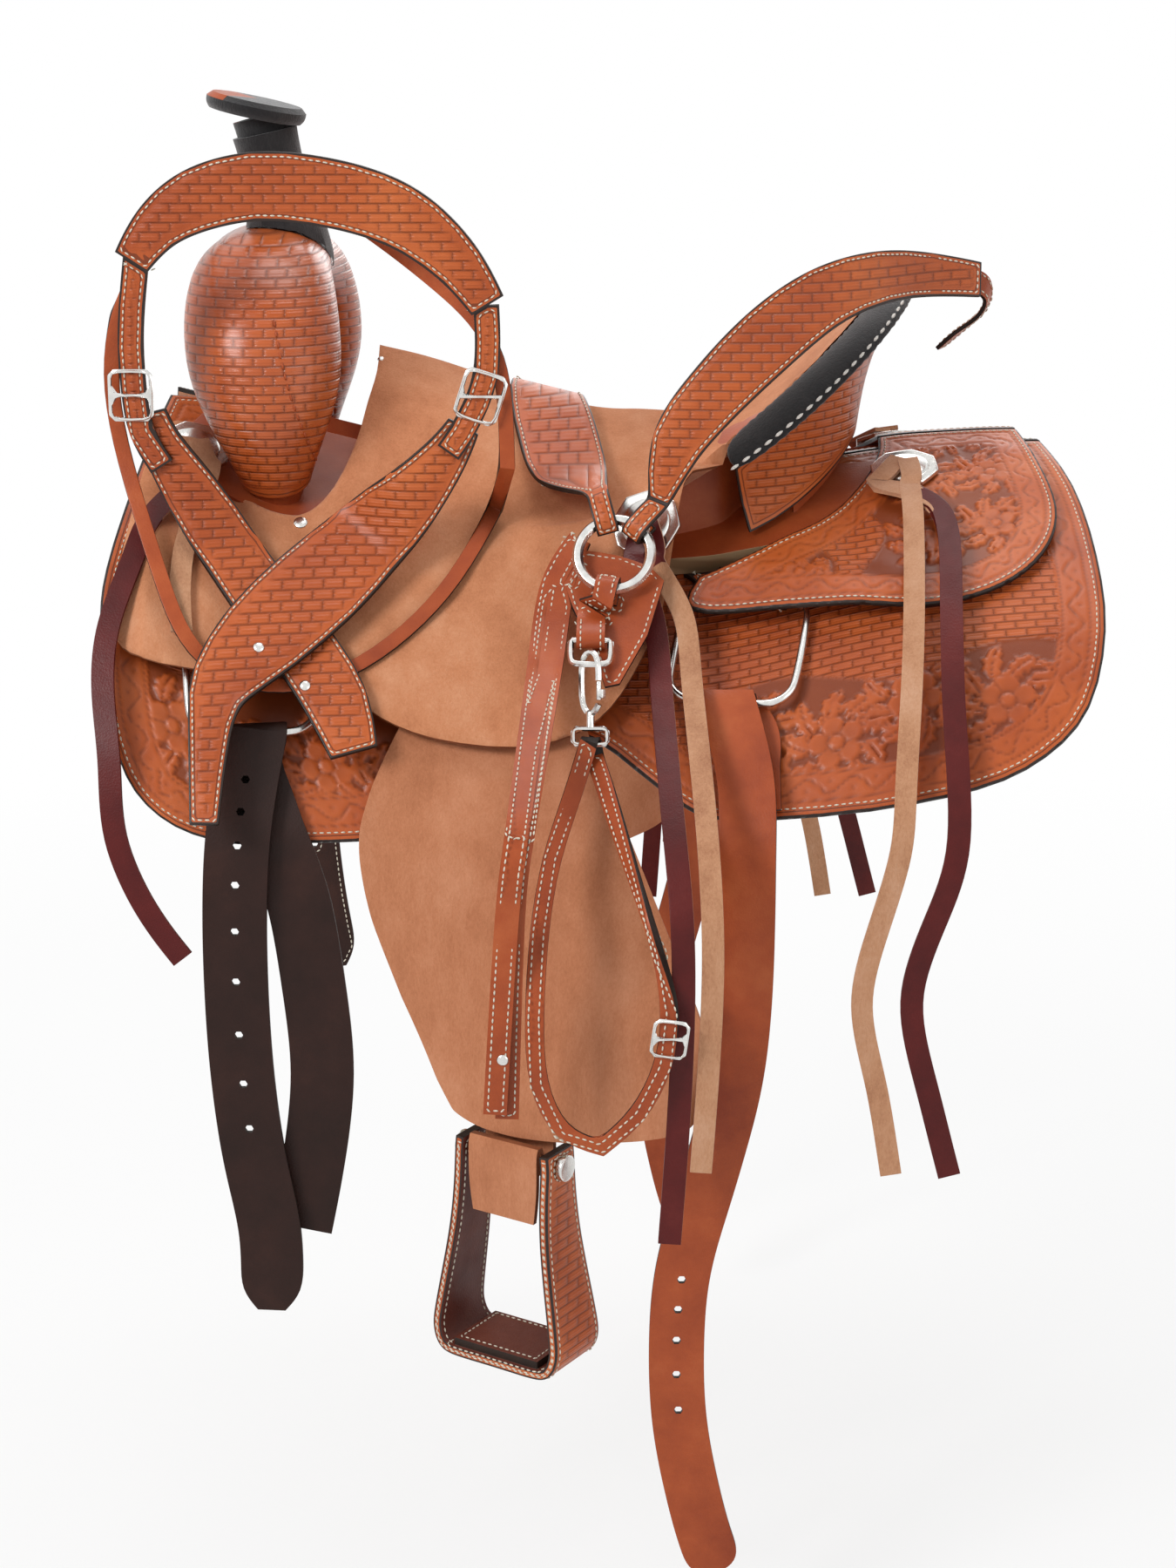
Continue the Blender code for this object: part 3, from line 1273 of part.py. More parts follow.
hangingStraps = [[(-0.026, 0.002), (-0.034, -0.047)], [(-0.018, 0.002), (-0.026, -0.047)]]
hangingFalls = [[(-0.047, -0.384, -0.125), (-0.054, -0.3885, -0.180), (-0.063, -0.3885, -0.321)],
                [(-0.043, -0.379, -0.125), (-0.050, -0.3840, -0.180), (-0.055, -0.3840, -0.326)]]


def collarPlace():
    surface = seatSurface(gussetLift + gussetLeather + strapLeather + collarWire + 2 * fitGap + 0.003)
    return surfaceFrame(0.0185, tForHeight(surface, 0.0185, 0.024), surface, 0.02)


def collarLoop(place, angle, out):
    # A strap end folded round the ring, from its hidden end out to the strap's run
    reach = (collarWire + fitGap) / 0.9 + strapLeather / 2
    ring = collarRingRadius
    profile = [(ring + 0.009, -reach), (ring, -reach)]
    profile += [(ring - (reach + 0.0015) * math.sin(a), reach * math.cos(a)) for a in (2.44, 1.57, 0.7)]
    profile += [(ring, reach), (ring + 0.012, reach), (ring + 0.5 * out, reach * 0.7)]
    points = [place(r * math.cos(angle), r * math.sin(angle), n) for r, n in profile]
    wide = place(-math.sin(angle), math.cos(angle), 0) - place(0, 0, 0)
    return points, [wide] * len(points)


def collarStrap(place, angle, loopWidth, run, facing, thickness, out=0.045):
    # The loop, then a run of (x, y, z, width) points that face the given ways
    points, across = collarLoop(place, angle, out)
    data = [Vector((*points[-1], loopWidth))] + [Vector(p) for p in run]
    path = splinePoints(data, 2)[1:]
    looks = splinePoints([Vector(f) for f in [facing[0]] + facing], 2)[1:]
    widths = [loopWidth] * len(points)
    runPoints = [Vector(p[:3]) for p in path]
    chain = points + runPoints
    for i, spot in enumerate(path):
        k = len(points) + i
        tangent = (chain[min(k + 1, len(chain) - 1)] - chain[k - 1]).normalized()
        side = tangent.cross(looks[i]).normalized()
        if side.dot(across[-1]) < 0:
            side = -side
        across.append(side)
        widths.append(spot[3])
    return sweptStrap(chain, across, widths, thickness)


def buildCollar():
    place = collarPlace()
    ring = [place(collarRingRadius * math.cos(2 * math.pi * k / 20), collarRingRadius * math.sin(2 * math.pi * k / 20))
            for k in range(20)]
    addNode("breast_ring", [wireRing(ring, collarWire)], nickel, collarPivot, smooth=True)
    surface = folded(seatSurface(jockeyLeather + strapLeather / 2 + 0.0050))
    run = []
    facing = []
    for x, t, width in nearArm:
        point = surface(x, t)
        run.append((*point, width))
        ahead = surface(x, t + 0.02) - surface(x, t - 0.02)
        along = surface(x + 0.02, t) - surface(x - 0.02, t)
        facing.append(along.cross(ahead))
    run[0] = (run[0][0], run[0][1] - 0.003, run[0][2] + 0.004, run[0][3])
    near = collarStrap(place, math.radians(108), collarLoopWidth, run, facing, strapLeather)
    addNode("collar_arm_near", [near], leatherTan, collarPivot)
    facing = [Vector((0, -1, 0.3))] * 4 + [Vector((0.2, -1, 0.3))] * (len(longArm) - 4)
    far = collarStrap(place, math.radians(52), collarLoopWidth, longArm, facing, strapLeather)
    addNode("collar_arm_long", [far], leatherTan, collarPivot)
    addNode("tug_strap", [ribbon(tugPath, thinLeather, 2, tugFacing)], leatherTan, collarPivot)
    low = seatSurface(gussetLift)
    high = seatSurface(gussetLift + gussetLeather)
    gusset = nearSide(panelSolid(gussetOutline, low, high))
    points, across = collarLoop(place, math.radians(-97), 0.03)
    points = points[:-1]
    across = across[:-1]
    frame = deeFrame()
    reach = snapWire + fitGap + strapLeather / 2
    profile = [(0.032, strapLeather / 2 - 0.0012), (0.020, strapLeather / 2 + 0.0008), (0.010, deeBarHeight + reach * 0.7),
               (0.0, deeBarHeight + reach)]
    profile += [(-reach * math.sin(a), deeBarHeight + reach * math.cos(a)) for a in (0.7, 1.57, 2.44)]
    profile += [(0.0, deeBarHeight - reach), (0.009, deeBarHeight - reach)]
    points += [frame(0.0, v, n) for v, n in profile]
    level = placeAxis(frame)
    if level.dot(across[0]) < 0:
        level = -level
    across = across + [level] * (len(points) - len(across))
    widths = [collarLoopWidth] * 7 + [0.020] * (len(points) - 7)
    centre = sweptStrap(points, across, widths, strapLeather)
    solids = [gusset, centre]
    for run, fall in zip(hangingStraps, hangingFalls):
        path = []
        looks = []
        for x, z in [(-0.006, 0.030)] + run:
            point, look = laid(seatSurface(gussetLift + gussetLeather / 2), x, z)
            path.append((*point, 0.017))
            looks.append(look)
        path += [(*p, 0.016) for p in fall]
        looks += [Vector((0, -1, 0))] * len(fall)
        solids.append(ribbon(path, thinLeather, 2, looks))
    addNode("collar_gusset", solids, leatherTan, collarPivot)


# Small dee, trigger snap and the adjustable strap that hangs from the snap's eye
snapWire = 0.0024
deeBarHeight = 2 * fitGap + strapLeather + snapWire
centreDeeX = 0.002
centreDeeZ = -0.034
centreDeeWidth = 0.028
centreDeeDrop = 0.020
snapUp = Vector((0.0, 0.35, 0.94)).normalized()
snapRight = Vector((0.75, -0.62, 0.23))
eyeBar = -0.056
tieLeather = 0.003
tieWidth = 0.013
tieLoop = [(-0.010, -0.285, -0.125, 0, -1, 0), (-0.026, -0.325, -0.160, 0, -1, 0),
           (-0.0335, -0.364, -0.200, 0, -1, 0), (-0.0365, -0.3930, -0.252, 0, -1, 0),
           (-0.035, -0.3945, -0.298, 0, -1, 0), (-0.019, -0.3945, -0.334, 0, -1, 0),
           (0.009, -0.3945, -0.343, 0, -1, 0), (0.035, -0.3945, -0.320, 0, -1, 0),
           (0.052, -0.3945, -0.284, 0, -1, 0), (0.056, -0.3945, -0.246, 0, -1, 0),
           (0.048, -0.386, -0.208, 1, -0.6, 0), (0.034, -0.360, -0.172, 1, 0.6, 0),
           (0.020, -0.318, -0.138, 0.4, 1, 0), (0.010, -0.282, -0.116, 0, 1, 0)]


def deeFrame():
    surface = seatSurface(gussetLift + gussetLeather)
    return surfaceFrame(centreDeeX, tForHeight(surface, centreDeeX, centreDeeZ), surface)


def deeBottom():
    return deeFrame()(0.0, -centreDeeDrop, deeBarHeight)


def buildSnap():
    frame = deeFrame()
    dee = deePath(centreDeeWidth, centreDeeDrop, 0.005, lambda u, v: frame(u, v, deeBarHeight), 2)
    addNode("collar_dee", [wireRing(dee, snapWire)], nickel, collarPivot, smooth=True)
    pivot = deeBottom()
    place = frameAt(pivot, snapRight, snapUp)
    hook = [(0.0080, -0.012), (0.0080, -0.002), (0.0060, 0.0066), (0.0, 0.0098), (-0.0060, 0.0066),
            (-0.0080, -0.002), (-0.0080, -0.024), (-0.0045, -0.032), (0.0, -0.035), (0.0045, -0.0335),
            (0.0080, -0.0285)]
    body = wireRing([place(u, v, 0) for u, v in hook], snapWire, closed=False)
    post = rodSolid(place, (0, -0.0335), (0, -0.0445), 0.0032)
    eyePlace = frameAt(pivot, (1, 0, 0), snapUp)
    half = 0.0105
    eye = [(half, -0.045), (-half, -0.045), (-half - 0.0012, -0.047), (-half - 0.0012, eyeBar + 0.002),
           (-half, eyeBar), (half, eyeBar), (half + 0.0012, eyeBar + 0.002), (half + 0.0012, -0.047)]
    eyeRing = wireRing([eyePlace(u, v, 0) for u, v in eye], 0.0018)
    addNode("snap_body", [body, post, eyeRing], nickel, pivot, smooth=True)
    gate = rodSolid(place, (0.0080, -0.0255), (0.0080, -0.0125), 0.0021)
    trigger = boxSolid(place, (0.0080, -0.0245, -0.0018), (0.0130, -0.0185, 0.0018))
    addNode("snap_gate", [gate, trigger], nickel, place(0.0080, -0.0255, 0), smooth=True)
    buildTie(pivot, eyePlace(0, eyeBar, 0))


def rodSolid(place, start, end, radius, sides=8):
    low = place(start[0], start[1], 0)
    high = place(end[0], end[1], 0)
    along = high - low
    other = place(0, 0, 1) - place(0, 0, 0)
    length = along.length
    frame = frameAt(low, along.cross(other), other)
    profile = [(0, 0), (radius, 0), (radius, length), (0, length)]
    verts, faces = discSolid(frame, profile, sides)
    if (frame(0, 0, 1) - frame(0, 0, 0)).dot(along) < 0:
        verts, faces = discSolid(frame, [(r, -h) for r, h in profile], sides)
    return verts, faces


def buildTie(pivot, bar):
    reach = (0.0018 + fitGap) / math.cos(0.42) + tieLeather / 2 + 0.0001
    points = []
    facing = []
    for k in range(5):
        angle = math.radians(-100 + 50 * k)
        way = Vector((0, -math.sin(angle), math.cos(angle)))
        points.append(Vector((*(bar + reach * way + Vector((0.001 * (k - 2) * -1.0, 0, 0))), tieWidth)))
        facing.append(way)
    for x, y, z, a, b, c in tieLoop:
        points.append(Vector((x, y, z, tieWidth)))
        facing.append(Vector((a, b, c)).normalized())
    points.append(Vector((*(bar + Vector((0.003, 0.0030, -0.010))), tieWidth)))
    facing.append(Vector((0, 1, 0)))
    addNode("tie_strap", [loopedStrap(points, facing, tieLeather)], leatherTan, pivot)
    front = tieLeather / 2 + fitGap + 0.00075
    addNode("tie_buckle", buckleSolids((0.0548, -0.3945 - front, -0.264), 0.0112, 0.0125, 0.0012, math.radians(8)),
            nickel, pivot)


clearScene()
buildSkirts()
buildTree(buildCantle(), buildFork())
buildSeat()
buildRearJockeys()
buildHorn()
buildRigging()
buildGirthStraps()
buildFenders()
buildStirrups()
buildConchos()
buildHeadstall()
buildCollar()
buildSnap()
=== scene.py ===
# Western trail saddle: tooled leather, wool, thread and nickel around the fixed frame
import json
import math

import bmesh
import bpy
import numpy as np
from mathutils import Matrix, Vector, noise
from mathutils.bvhtree import BVHTree
from mathutils.geometry import delaunay_2d_cdt
from mathutils.kdtree import KDTree


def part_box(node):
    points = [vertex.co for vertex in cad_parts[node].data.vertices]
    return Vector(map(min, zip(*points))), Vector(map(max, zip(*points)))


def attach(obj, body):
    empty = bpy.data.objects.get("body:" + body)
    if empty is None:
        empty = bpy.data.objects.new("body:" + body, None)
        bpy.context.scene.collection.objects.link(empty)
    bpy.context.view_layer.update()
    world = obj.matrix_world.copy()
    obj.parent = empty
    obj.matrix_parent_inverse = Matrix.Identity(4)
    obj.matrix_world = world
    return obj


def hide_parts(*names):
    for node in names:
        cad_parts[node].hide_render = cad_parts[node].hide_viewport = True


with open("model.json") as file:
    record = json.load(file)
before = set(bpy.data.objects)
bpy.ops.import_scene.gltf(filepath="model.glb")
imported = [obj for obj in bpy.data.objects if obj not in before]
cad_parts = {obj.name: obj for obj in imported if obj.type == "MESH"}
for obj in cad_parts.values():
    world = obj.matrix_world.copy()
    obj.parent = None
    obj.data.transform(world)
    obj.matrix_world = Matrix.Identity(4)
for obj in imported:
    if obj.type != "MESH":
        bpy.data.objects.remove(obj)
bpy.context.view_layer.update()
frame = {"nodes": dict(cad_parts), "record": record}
bodyOf = {node: body for body, nodes in frame["record"]["behaviour"]["bodies"].items() for node in nodes}
slotOf = {part["node"]: part["material_slot"] for part in frame["record"]["subparts"]}


# Shader building
def addNode(tree, kind, inputs=None, **settings):
    node = tree.nodes.new(kind)
    for key, value in settings.items():
        setattr(node, key, value)
    for key, value in (inputs or {}).items():
        if isinstance(value, bpy.types.NodeSocket):
            tree.links.new(value, node.inputs[key])
        else:
            node.inputs[key].default_value = value
    return node


def calc(tree, operation, a, b=0.0, c=0.0):
    return addNode(tree, "ShaderNodeMath", {0: a, 1: b, 2: c}, operation=operation).outputs[0]


def plus(tree, a, b):
    return calc(tree, "ADD", a, b)


def minus(tree, a, b):
    return calc(tree, "SUBTRACT", a, b)


def times(tree, a, b):
    return calc(tree, "MULTIPLY", a, b)


def ramp(tree, fac, places, colors):
    node = addNode(tree, "ShaderNodeValToRGB", {0: fac})
    bar = node.color_ramp
    while len(bar.elements) < len(places):
        bar.elements.new(0.5)
    for element, place, color in zip(bar.elements, places, colors):
        element.position = place
        element.color = (*color, 1.0)
    return node.outputs[0]


def blend(tree, fac, a, b):
    a, b = (c if isinstance(c, bpy.types.NodeSocket) else (*c, 1.0) for c in (a, b))
    return addNode(tree, "ShaderNodeMix", {0: fac, 6: a, 7: b}, data_type="RGBA").outputs[2]


def objectSpace(tree):
    return addNode(tree, "ShaderNodeTexCoord").outputs["Object"]


def grain(tree, scale, detail=3.0, rough=0.5, coords=None):
    values = {"Vector": coords or objectSpace(tree), "Scale": scale, "Detail": detail, "Roughness": rough}
    return addNode(tree, "ShaderNodeTexNoise", values).outputs[0]


def cells(tree, scale, **settings):
    values = {"Vector": objectSpace(tree), "Scale": scale}
    return addNode(tree, "ShaderNodeTexVoronoi", values, **settings).outputs[0]


def startMaterial(name, **values):
    material = bpy.data.materials.new(name)
    material.use_nodes = True
    tree = material.node_tree
    shader = tree.nodes["Principled BSDF"]
    for key, value in values.items():
        shader.inputs[key.replace("_", " ")].default_value = value
    return material, tree, shader


def tint(tree, shader, fac, places, colors):
    tree.links.new(ramp(tree, fac, places, colors), shader.inputs["Base Color"])


def darker(color, share):
    return tuple(c * share for c in color)


def bump(tree, shader, height, strength, distance):
    node = addNode(tree, "ShaderNodeBump", {"Height": height, "Strength": strength, "Distance": distance})
    tree.links.new(node.outputs[0], shader.inputs["Normal"])


def basketWeave(tree, u, v, cell):
    # Height of a stamped basket weave: rows of long rounded bars, each row shifted by half a bar
    row = calc(tree, "DIVIDE", v, cell * 0.86)
    shift = times(tree, calc(tree, "PINGPONG", calc(tree, "FLOOR", row), 1.0), 0.5)
    bar = plus(tree, calc(tree, "DIVIDE", u, cell * 1.9), shift)
    along, across = (minus(tree, calc(tree, "FRACT", place), 0.5) for place in (bar, row))
    crown, ends = (minus(tree, 1.0, calc(tree, "POWER", calc(tree, "ABSOLUTE", times(tree, side, 2.0)), power))
                   for side, power in ((across, 3.0), (along, 5.0)))
    grooves = times(tree, calc(tree, "COSINE", times(tree, across, 18.8)), 0.10)
    return plus(tree, times(tree, crown, ends), grooves)


skirtingTones = ((0.33, 0.055, 0.011), (0.48, 0.098, 0.020), (0.60, 0.150, 0.038))
toolMarks = {"cell": 0.0076, "dyed": 0.0016, "line": 0.0042, "halfLine": 0.0005}


def attribute(tree, name):
    return addNode(tree, "ShaderNodeAttribute", attribute_name=name).outputs["Fac"]


def tooledMaterial(name, gloss=0.42, coat=0.10):
    # Vegetable-tanned leather: carved ground and weave darkened, a dyed edge and one pressed line inside it
    material, tree, shader = startMaterial(name, Roughness=gloss, Coat_Weight=coat, Coat_Roughness=0.22,
                                           Specular_IOR_Level=0.30)
    low = skirtingTones[0]
    base = ramp(tree, grain(tree, 9.0, 4.0, 0.6), (0.30, 0.52, 0.75), skirtingTones)
    rim, carve, mask = (attribute(tree, layer) for layer in ("rim", "carve", "weave"))
    lay = addNode(tree, "ShaderNodeSeparateXYZ", {0: addNode(tree, "ShaderNodeUVMap", uv_map="lay").outputs[0]})
    color = blend(tree, times(tree, minus(tree, 1.0, carve), 0.80), base, darker(low, 0.38))
    stamp = basketWeave(tree, lay.outputs[0], lay.outputs[1], toolMarks["cell"])
    pores = times(tree, cells(tree, 900.0, feature="DISTANCE_TO_EDGE"), 0.25)
    height = plus(tree, pores, times(tree, times(tree, stamp, mask), 2.6))
    hollow = times(tree, minus(tree, 0.75, stamp), mask)
    hollow.node.use_clamp = True
    color = blend(tree, times(tree, hollow, 0.75), color, darker(low, 0.32))
    color = blend(tree, calc(tree, "LESS_THAN", rim, toolMarks["dyed"]), color, (0.022, 0.012, 0.009))
    offLine = calc(tree, "ABSOLUTE", minus(tree, rim, toolMarks["line"]))
    line = calc(tree, "LESS_THAN", offLine, toolMarks["halfLine"])
    color = blend(tree, times(tree, line, 0.7), color, darker(low, 0.25))
    tree.links.new(color, shader.inputs["Base Color"])
    wear = calc(tree, "MULTIPLY_ADD", grain(tree, 40.0, 3.0), 0.22, gloss - 0.11)
    tree.links.new(wear, shader.inputs["Roughness"])
    bump(tree, shader, minus(tree, height, times(tree, line, 0.8)), 0.7, 0.0006)
    return material


def plainLeather(name, colors, gloss, coat=0.0):
    material, tree, shader = startMaterial(name, Roughness=gloss, Coat_Weight=coat, Coat_Roughness=0.3,
                                           Specular_IOR_Level=0.22)
    tint(tree, shader, grain(tree, 14.0, 5.0, 0.65), (0.28, 0.55, 0.8), colors)
    crease = grain(tree, 60.0, 4.0, 0.6)
    tree.links.new(calc(tree, "MULTIPLY_ADD", crease, 0.25, gloss - 0.12), shader.inputs["Roughness"])
    bump(tree, shader, plus(tree, times(tree, cells(tree, 700.0), 0.4), times(tree, crease, 0.9)), 0.5, 0.0005)
    return material


def napMaterial(name, colors, sheen):
    # Flesh side or suede: short nap brushed in patches
    material, tree, shader = startMaterial(name, Roughness=0.92, Sheen_Weight=sheen, Sheen_Roughness=0.5,
                                           Specular_IOR_Level=0.15)
    brushed = {"Vector": objectSpace(tree), "Scale": (1.0, 1.0, 0.45)}
    stretched = addNode(tree, "ShaderNodeMapping", brushed).outputs[0]
    patches = grain(tree, 22.0, 6.0, 0.7, stretched)
    fibre = grain(tree, 620.0, 4.0, 0.75, stretched)
    mixed = plus(tree, times(tree, patches, 0.7), times(tree, fibre, 0.35))
    tint(tree, shader, mixed, (0.34, 0.52, 0.70), colors)
    bump(tree, shader, plus(tree, fibre, times(tree, patches, 1.5)), 0.6, 0.0009)
    return material


def woolMaterial():
    material, tree, shader = startMaterial("woolPile", Roughness=0.97, Sheen_Weight=0.4, Sheen_Roughness=0.6)
    mixed = plus(tree, times(tree, cells(tree, 160.0), 0.8), times(tree, grain(tree, 300.0, 5.0, 0.7), 0.5))
    tint(tree, shader, mixed, (0.25, 0.55, 0.85), ((0.82, 0.76, 0.63), (0.66, 0.58, 0.44), (0.40, 0.33, 0.23)))
    bump(tree, shader, minus(tree, 1.0, mixed), 1.0, 0.0030)
    return material


def nickelMaterial(name, tone, gloss):
    material, tree, shader = startMaterial(name, Metallic=1.0, Roughness=gloss)
    haze = grain(tree, 160.0, 4.0, 0.6)
    tint(tree, shader, haze, (0.35, 0.7), (darker(tone, 0.82), tone))
    tree.links.new(calc(tree, "MULTIPLY_ADD", haze, 0.16, gloss - 0.07), shader.inputs["Roughness"])
    bump(tree, shader, grain(tree, 420.0, 2.0), 0.12, 0.0002)
    return material


def woodMaterial():
    material, tree, shader = startMaterial("treeWood", Roughness=0.6)
    values = {"Vector": objectSpace(tree), "Scale": 14.0, "Distortion": 5.0, "Detail": 3.0}
    rings = addNode(tree, "ShaderNodeTexWave", values, bands_direction="Z").outputs[1]
    tint(tree, shader, rings, (0.2, 0.7), ((0.36, 0.22, 0.11), (0.56, 0.38, 0.21)))
    bump(tree, shader, rings, 0.3, 0.0006)
    return material


def threadMaterial(name, tone):
    material, tree, shader = startMaterial(name, Roughness=0.75, Sheen_Weight=0.2)
    ply = grain(tree, 900.0, 2.0)
    tint(tree, shader, ply, (0.3, 0.65), (darker(tone, 0.7), tone))
    bump(tree, shader, ply, 0.5, 0.0003)
    return material


looks = {
    "tooled": tooledMaterial("tooledSkirting"),
    "glossy": tooledMaterial("polishedSwell", 0.30, 0.35),
    "plainTan": plainLeather("smoothSkirting",
                             ((0.26, 0.042, 0.012), (0.39, 0.075, 0.020), (0.50, 0.125, 0.038)),
                             0.42, 0.12),
    "seatNap": napMaterial("seatSuede", ((0.44, 0.16, 0.070), (0.58, 0.235, 0.112), (0.68, 0.32, 0.175)), 0.12),
    "rough": napMaterial("roughOut", ((0.40, 0.145, 0.066), (0.52, 0.205, 0.100), (0.62, 0.275, 0.150)), 0.12),
    "latigo": plainLeather("oiledLatigo",
                           ((0.016, 0.006, 0.004), (0.028, 0.010, 0.007), (0.050, 0.018, 0.012)), 0.45),
    "string": plainLeather("burgundyThong",
                           ((0.060, 0.006, 0.006), (0.100, 0.010, 0.009), (0.150, 0.020, 0.016)), 0.42),
    "stringRough": napMaterial("thongFleshSide",
                               ((0.34, 0.14, 0.07), (0.52, 0.26, 0.14), (0.62, 0.35, 0.22)), 0.3),
    "black": napMaterial("blackSuede",
                         ((0.008, 0.008, 0.009), (0.016, 0.015, 0.016), (0.035, 0.033, 0.034)), 0.5),
    "blackSmooth": plainLeather("blackDressed",
                                ((0.008, 0.008, 0.008), (0.014, 0.013, 0.013), (0.03, 0.028, 0.027)), 0.5),
    "edge": plainLeather("dyedEdge", ((0.012, 0.008, 0.006), (0.02, 0.012, 0.009), (0.045, 0.022, 0.014)), 0.5),
    "roughEdge": plainLeather("cutEdge", ((0.16, 0.05, 0.02), (0.24, 0.08, 0.035), (0.34, 0.13, 0.06)), 0.6),
    "wool": woolMaterial(),
    "wood": woodMaterial(),
    "nickel": nickelMaterial("brightNickel", (0.80, 0.79, 0.76), 0.20),
    "thread": threadMaterial("creamThread", (0.80, 0.74, 0.60)),
    "whiteThread": threadMaterial("whiteLacing", (0.88, 0.86, 0.80)),
    "tread": plainLeather("treadLeather",
                          ((0.08, 0.018, 0.012), (0.13, 0.032, 0.02), (0.19, 0.055, 0.035)), 0.5),
}
print("materials made:", len(looks))


# Mesh helpers
def addItem(name, mesh, *materials):
    for material in materials:
        mesh.materials.append(material)
    item = bpy.data.objects.new(name, mesh)
    bpy.context.collection.objects.link(item)
    return item


def makeObject(name, verts, faces, *materials):
    mesh = bpy.data.meshes.new(name)
    mesh.from_pydata([tuple(v) for v in verts], [], faces)
    return addItem(name, mesh, *materials)


def setLayers(mesh, coords, **values):
    # A number per vertex for the shaders, and its flat coordinates, in metres, as the piece's own UV map
    for name, numbers in values.items():
        layer = mesh.attributes.new(name, "FLOAT", "POINT")
        layer.data.foreach_set("value", np.asarray(numbers, np.float32))
    layer = mesh.uv_layers.new(name="lay")
    loops = np.empty(len(mesh.loops), np.int32)
    mesh.loops.foreach_get("vertex_index", loops)
    layer.data.foreach_set("uv", np.asarray(coords, np.float32)[loops].ravel())


def bake(item):
    # Applies the modifiers into a plain mesh
    graph = bpy.context.evaluated_depsgraph_get()
    mesh = bpy.data.meshes.new_from_object(item.evaluated_get(graph), preserve_all_data_layers=True,
                                           depsgraph=graph)
    item.modifiers.clear()
    item.data = mesh
    return item


def settle(item, body, slot, *nodes):
    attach(item, body)
    if nodes:
        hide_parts(*nodes)
    return item


def copyNode(node):
    bm = bmesh.new()
    bm.from_mesh(frame["nodes"][node].data)
    bmesh.ops.remove_doubles(bm, verts=bm.verts, dist=2e-6)
    bmesh.ops.dissolve_degenerate(bm, edges=bm.edges, dist=2e-5)
    return bm


def sideRegions(bm, limit):
    # Groups of faces that meet at less than the limit angle, largest first
    bm.faces.index_update()
    seen = set()
    groups = []
    for face in bm.faces:
        if face.index in seen:
            continue
        seen.add(face.index)
        group = [face]
        for member in group:
            for edge in member.edges:
                if len(edge.link_faces) == 2 and edge.calc_face_angle(0.0) < limit:
                    for other in edge.link_faces:
                        if other.index not in seen:
                            seen.add(other.index)
                            group.append(other)
        groups.append(group)
    return sorted(groups, key=lambda g: -sum(f.calc_area() for f in g))


def regionLoops(group):
    # The outline of a group of faces as closed runs of (point, inward direction, normal)
    inside = set(group)
    ahead = {}
    for face in group:
        for loop in face.loops:
            others = [f for f in loop.edge.link_faces if f is not face]
            if not others or others[0] not in inside:
                along = (loop.link_loop_next.vert.co - loop.vert.co).normalized()
                ahead[loop.vert] = (loop.link_loop_next.vert, face.normal.cross(along), face.normal.copy())
    runs = []
    while ahead:
        start = next(iter(ahead))
        run = []
        vert = start
        while vert in ahead:
            after, inward, normal = ahead.pop(vert)
            run.append((vert.co.copy(), inward, normal))
            vert = after
        if len(run) > 2:
            runs.append(run)
    return runs


def insetRun(run, distance, lift):
    points = []
    for i, (point, inward, normal) in enumerate(run):
        before = run[i - 1][1]
        middle = inward + before
        if middle.length < 0.2:
            middle = inward
        middle.normalize()
        reach = distance / max(0.45, middle.dot(inward))
        points.append(point + middle * reach + (normal + run[i - 1][2]).normalized() * lift)
    return points


def segmentDistance(points, starts, ends, step=0.0012):
    # Distance to the nearest of a run of segments, and how far along the run it lies
    points = np.asarray(points, float)
    starts = np.asarray(starts, float)
    ends = np.asarray(ends, float)
    lengths = np.sqrt(((ends - starts) ** 2).sum(1))
    walked = np.concatenate([[0.0], np.cumsum(lengths)[:-1]])
    samples = []
    owner = []
    for k, length in enumerate(lengths):
        shares = (np.arange(max(1, int(length / step))) + 0.5) / max(1, int(length / step))
        samples.append(starts[k] + shares[:, None] * (ends[k] - starts[k]))
        owner += [k] * len(shares)
    samples = np.vstack(samples)
    wide = np.zeros((len(samples), 3))
    wide[:, :samples.shape[1]] = samples
    tree = KDTree(len(samples))
    for k, place in enumerate(wide):
        tree.insert(place, k)
    tree.balance()
    spots = np.zeros((len(points), 3))
    spots[:, :points.shape[1]] = points
    near = np.array([owner[tree.find(p)[1]] for p in spots])
    span = ends[near] - starts[near]
    share = np.clip(((points - starts[near]) * span).sum(1) / np.maximum(1e-12, lengths[near] ** 2), 0, 1)
    gap = np.sqrt(((points - starts[near] - share[:, None] * span) ** 2).sum(1))
    return gap, walked[near] + share * lengths[near]


# Small pieces grown by Geometry Nodes: a flattened ball on each point, turned to a vector
def startTree(name, *floats):
    tree = bpy.data.node_groups.new(name, "GeometryNodeTree")
    sockets = [("Geometry", "INPUT", "Geometry")] + [(socket, "INPUT", "Float") for socket in floats]
    for socket, side, kind in sockets + [("Finish", "INPUT", "Material"), ("Geometry", "OUTPUT", "Geometry")]:
        tree.interface.new_socket(socket, in_out=side, socket_type="NodeSocket" + kind)
    return tree, addNode(tree, "NodeGroupInput").outputs


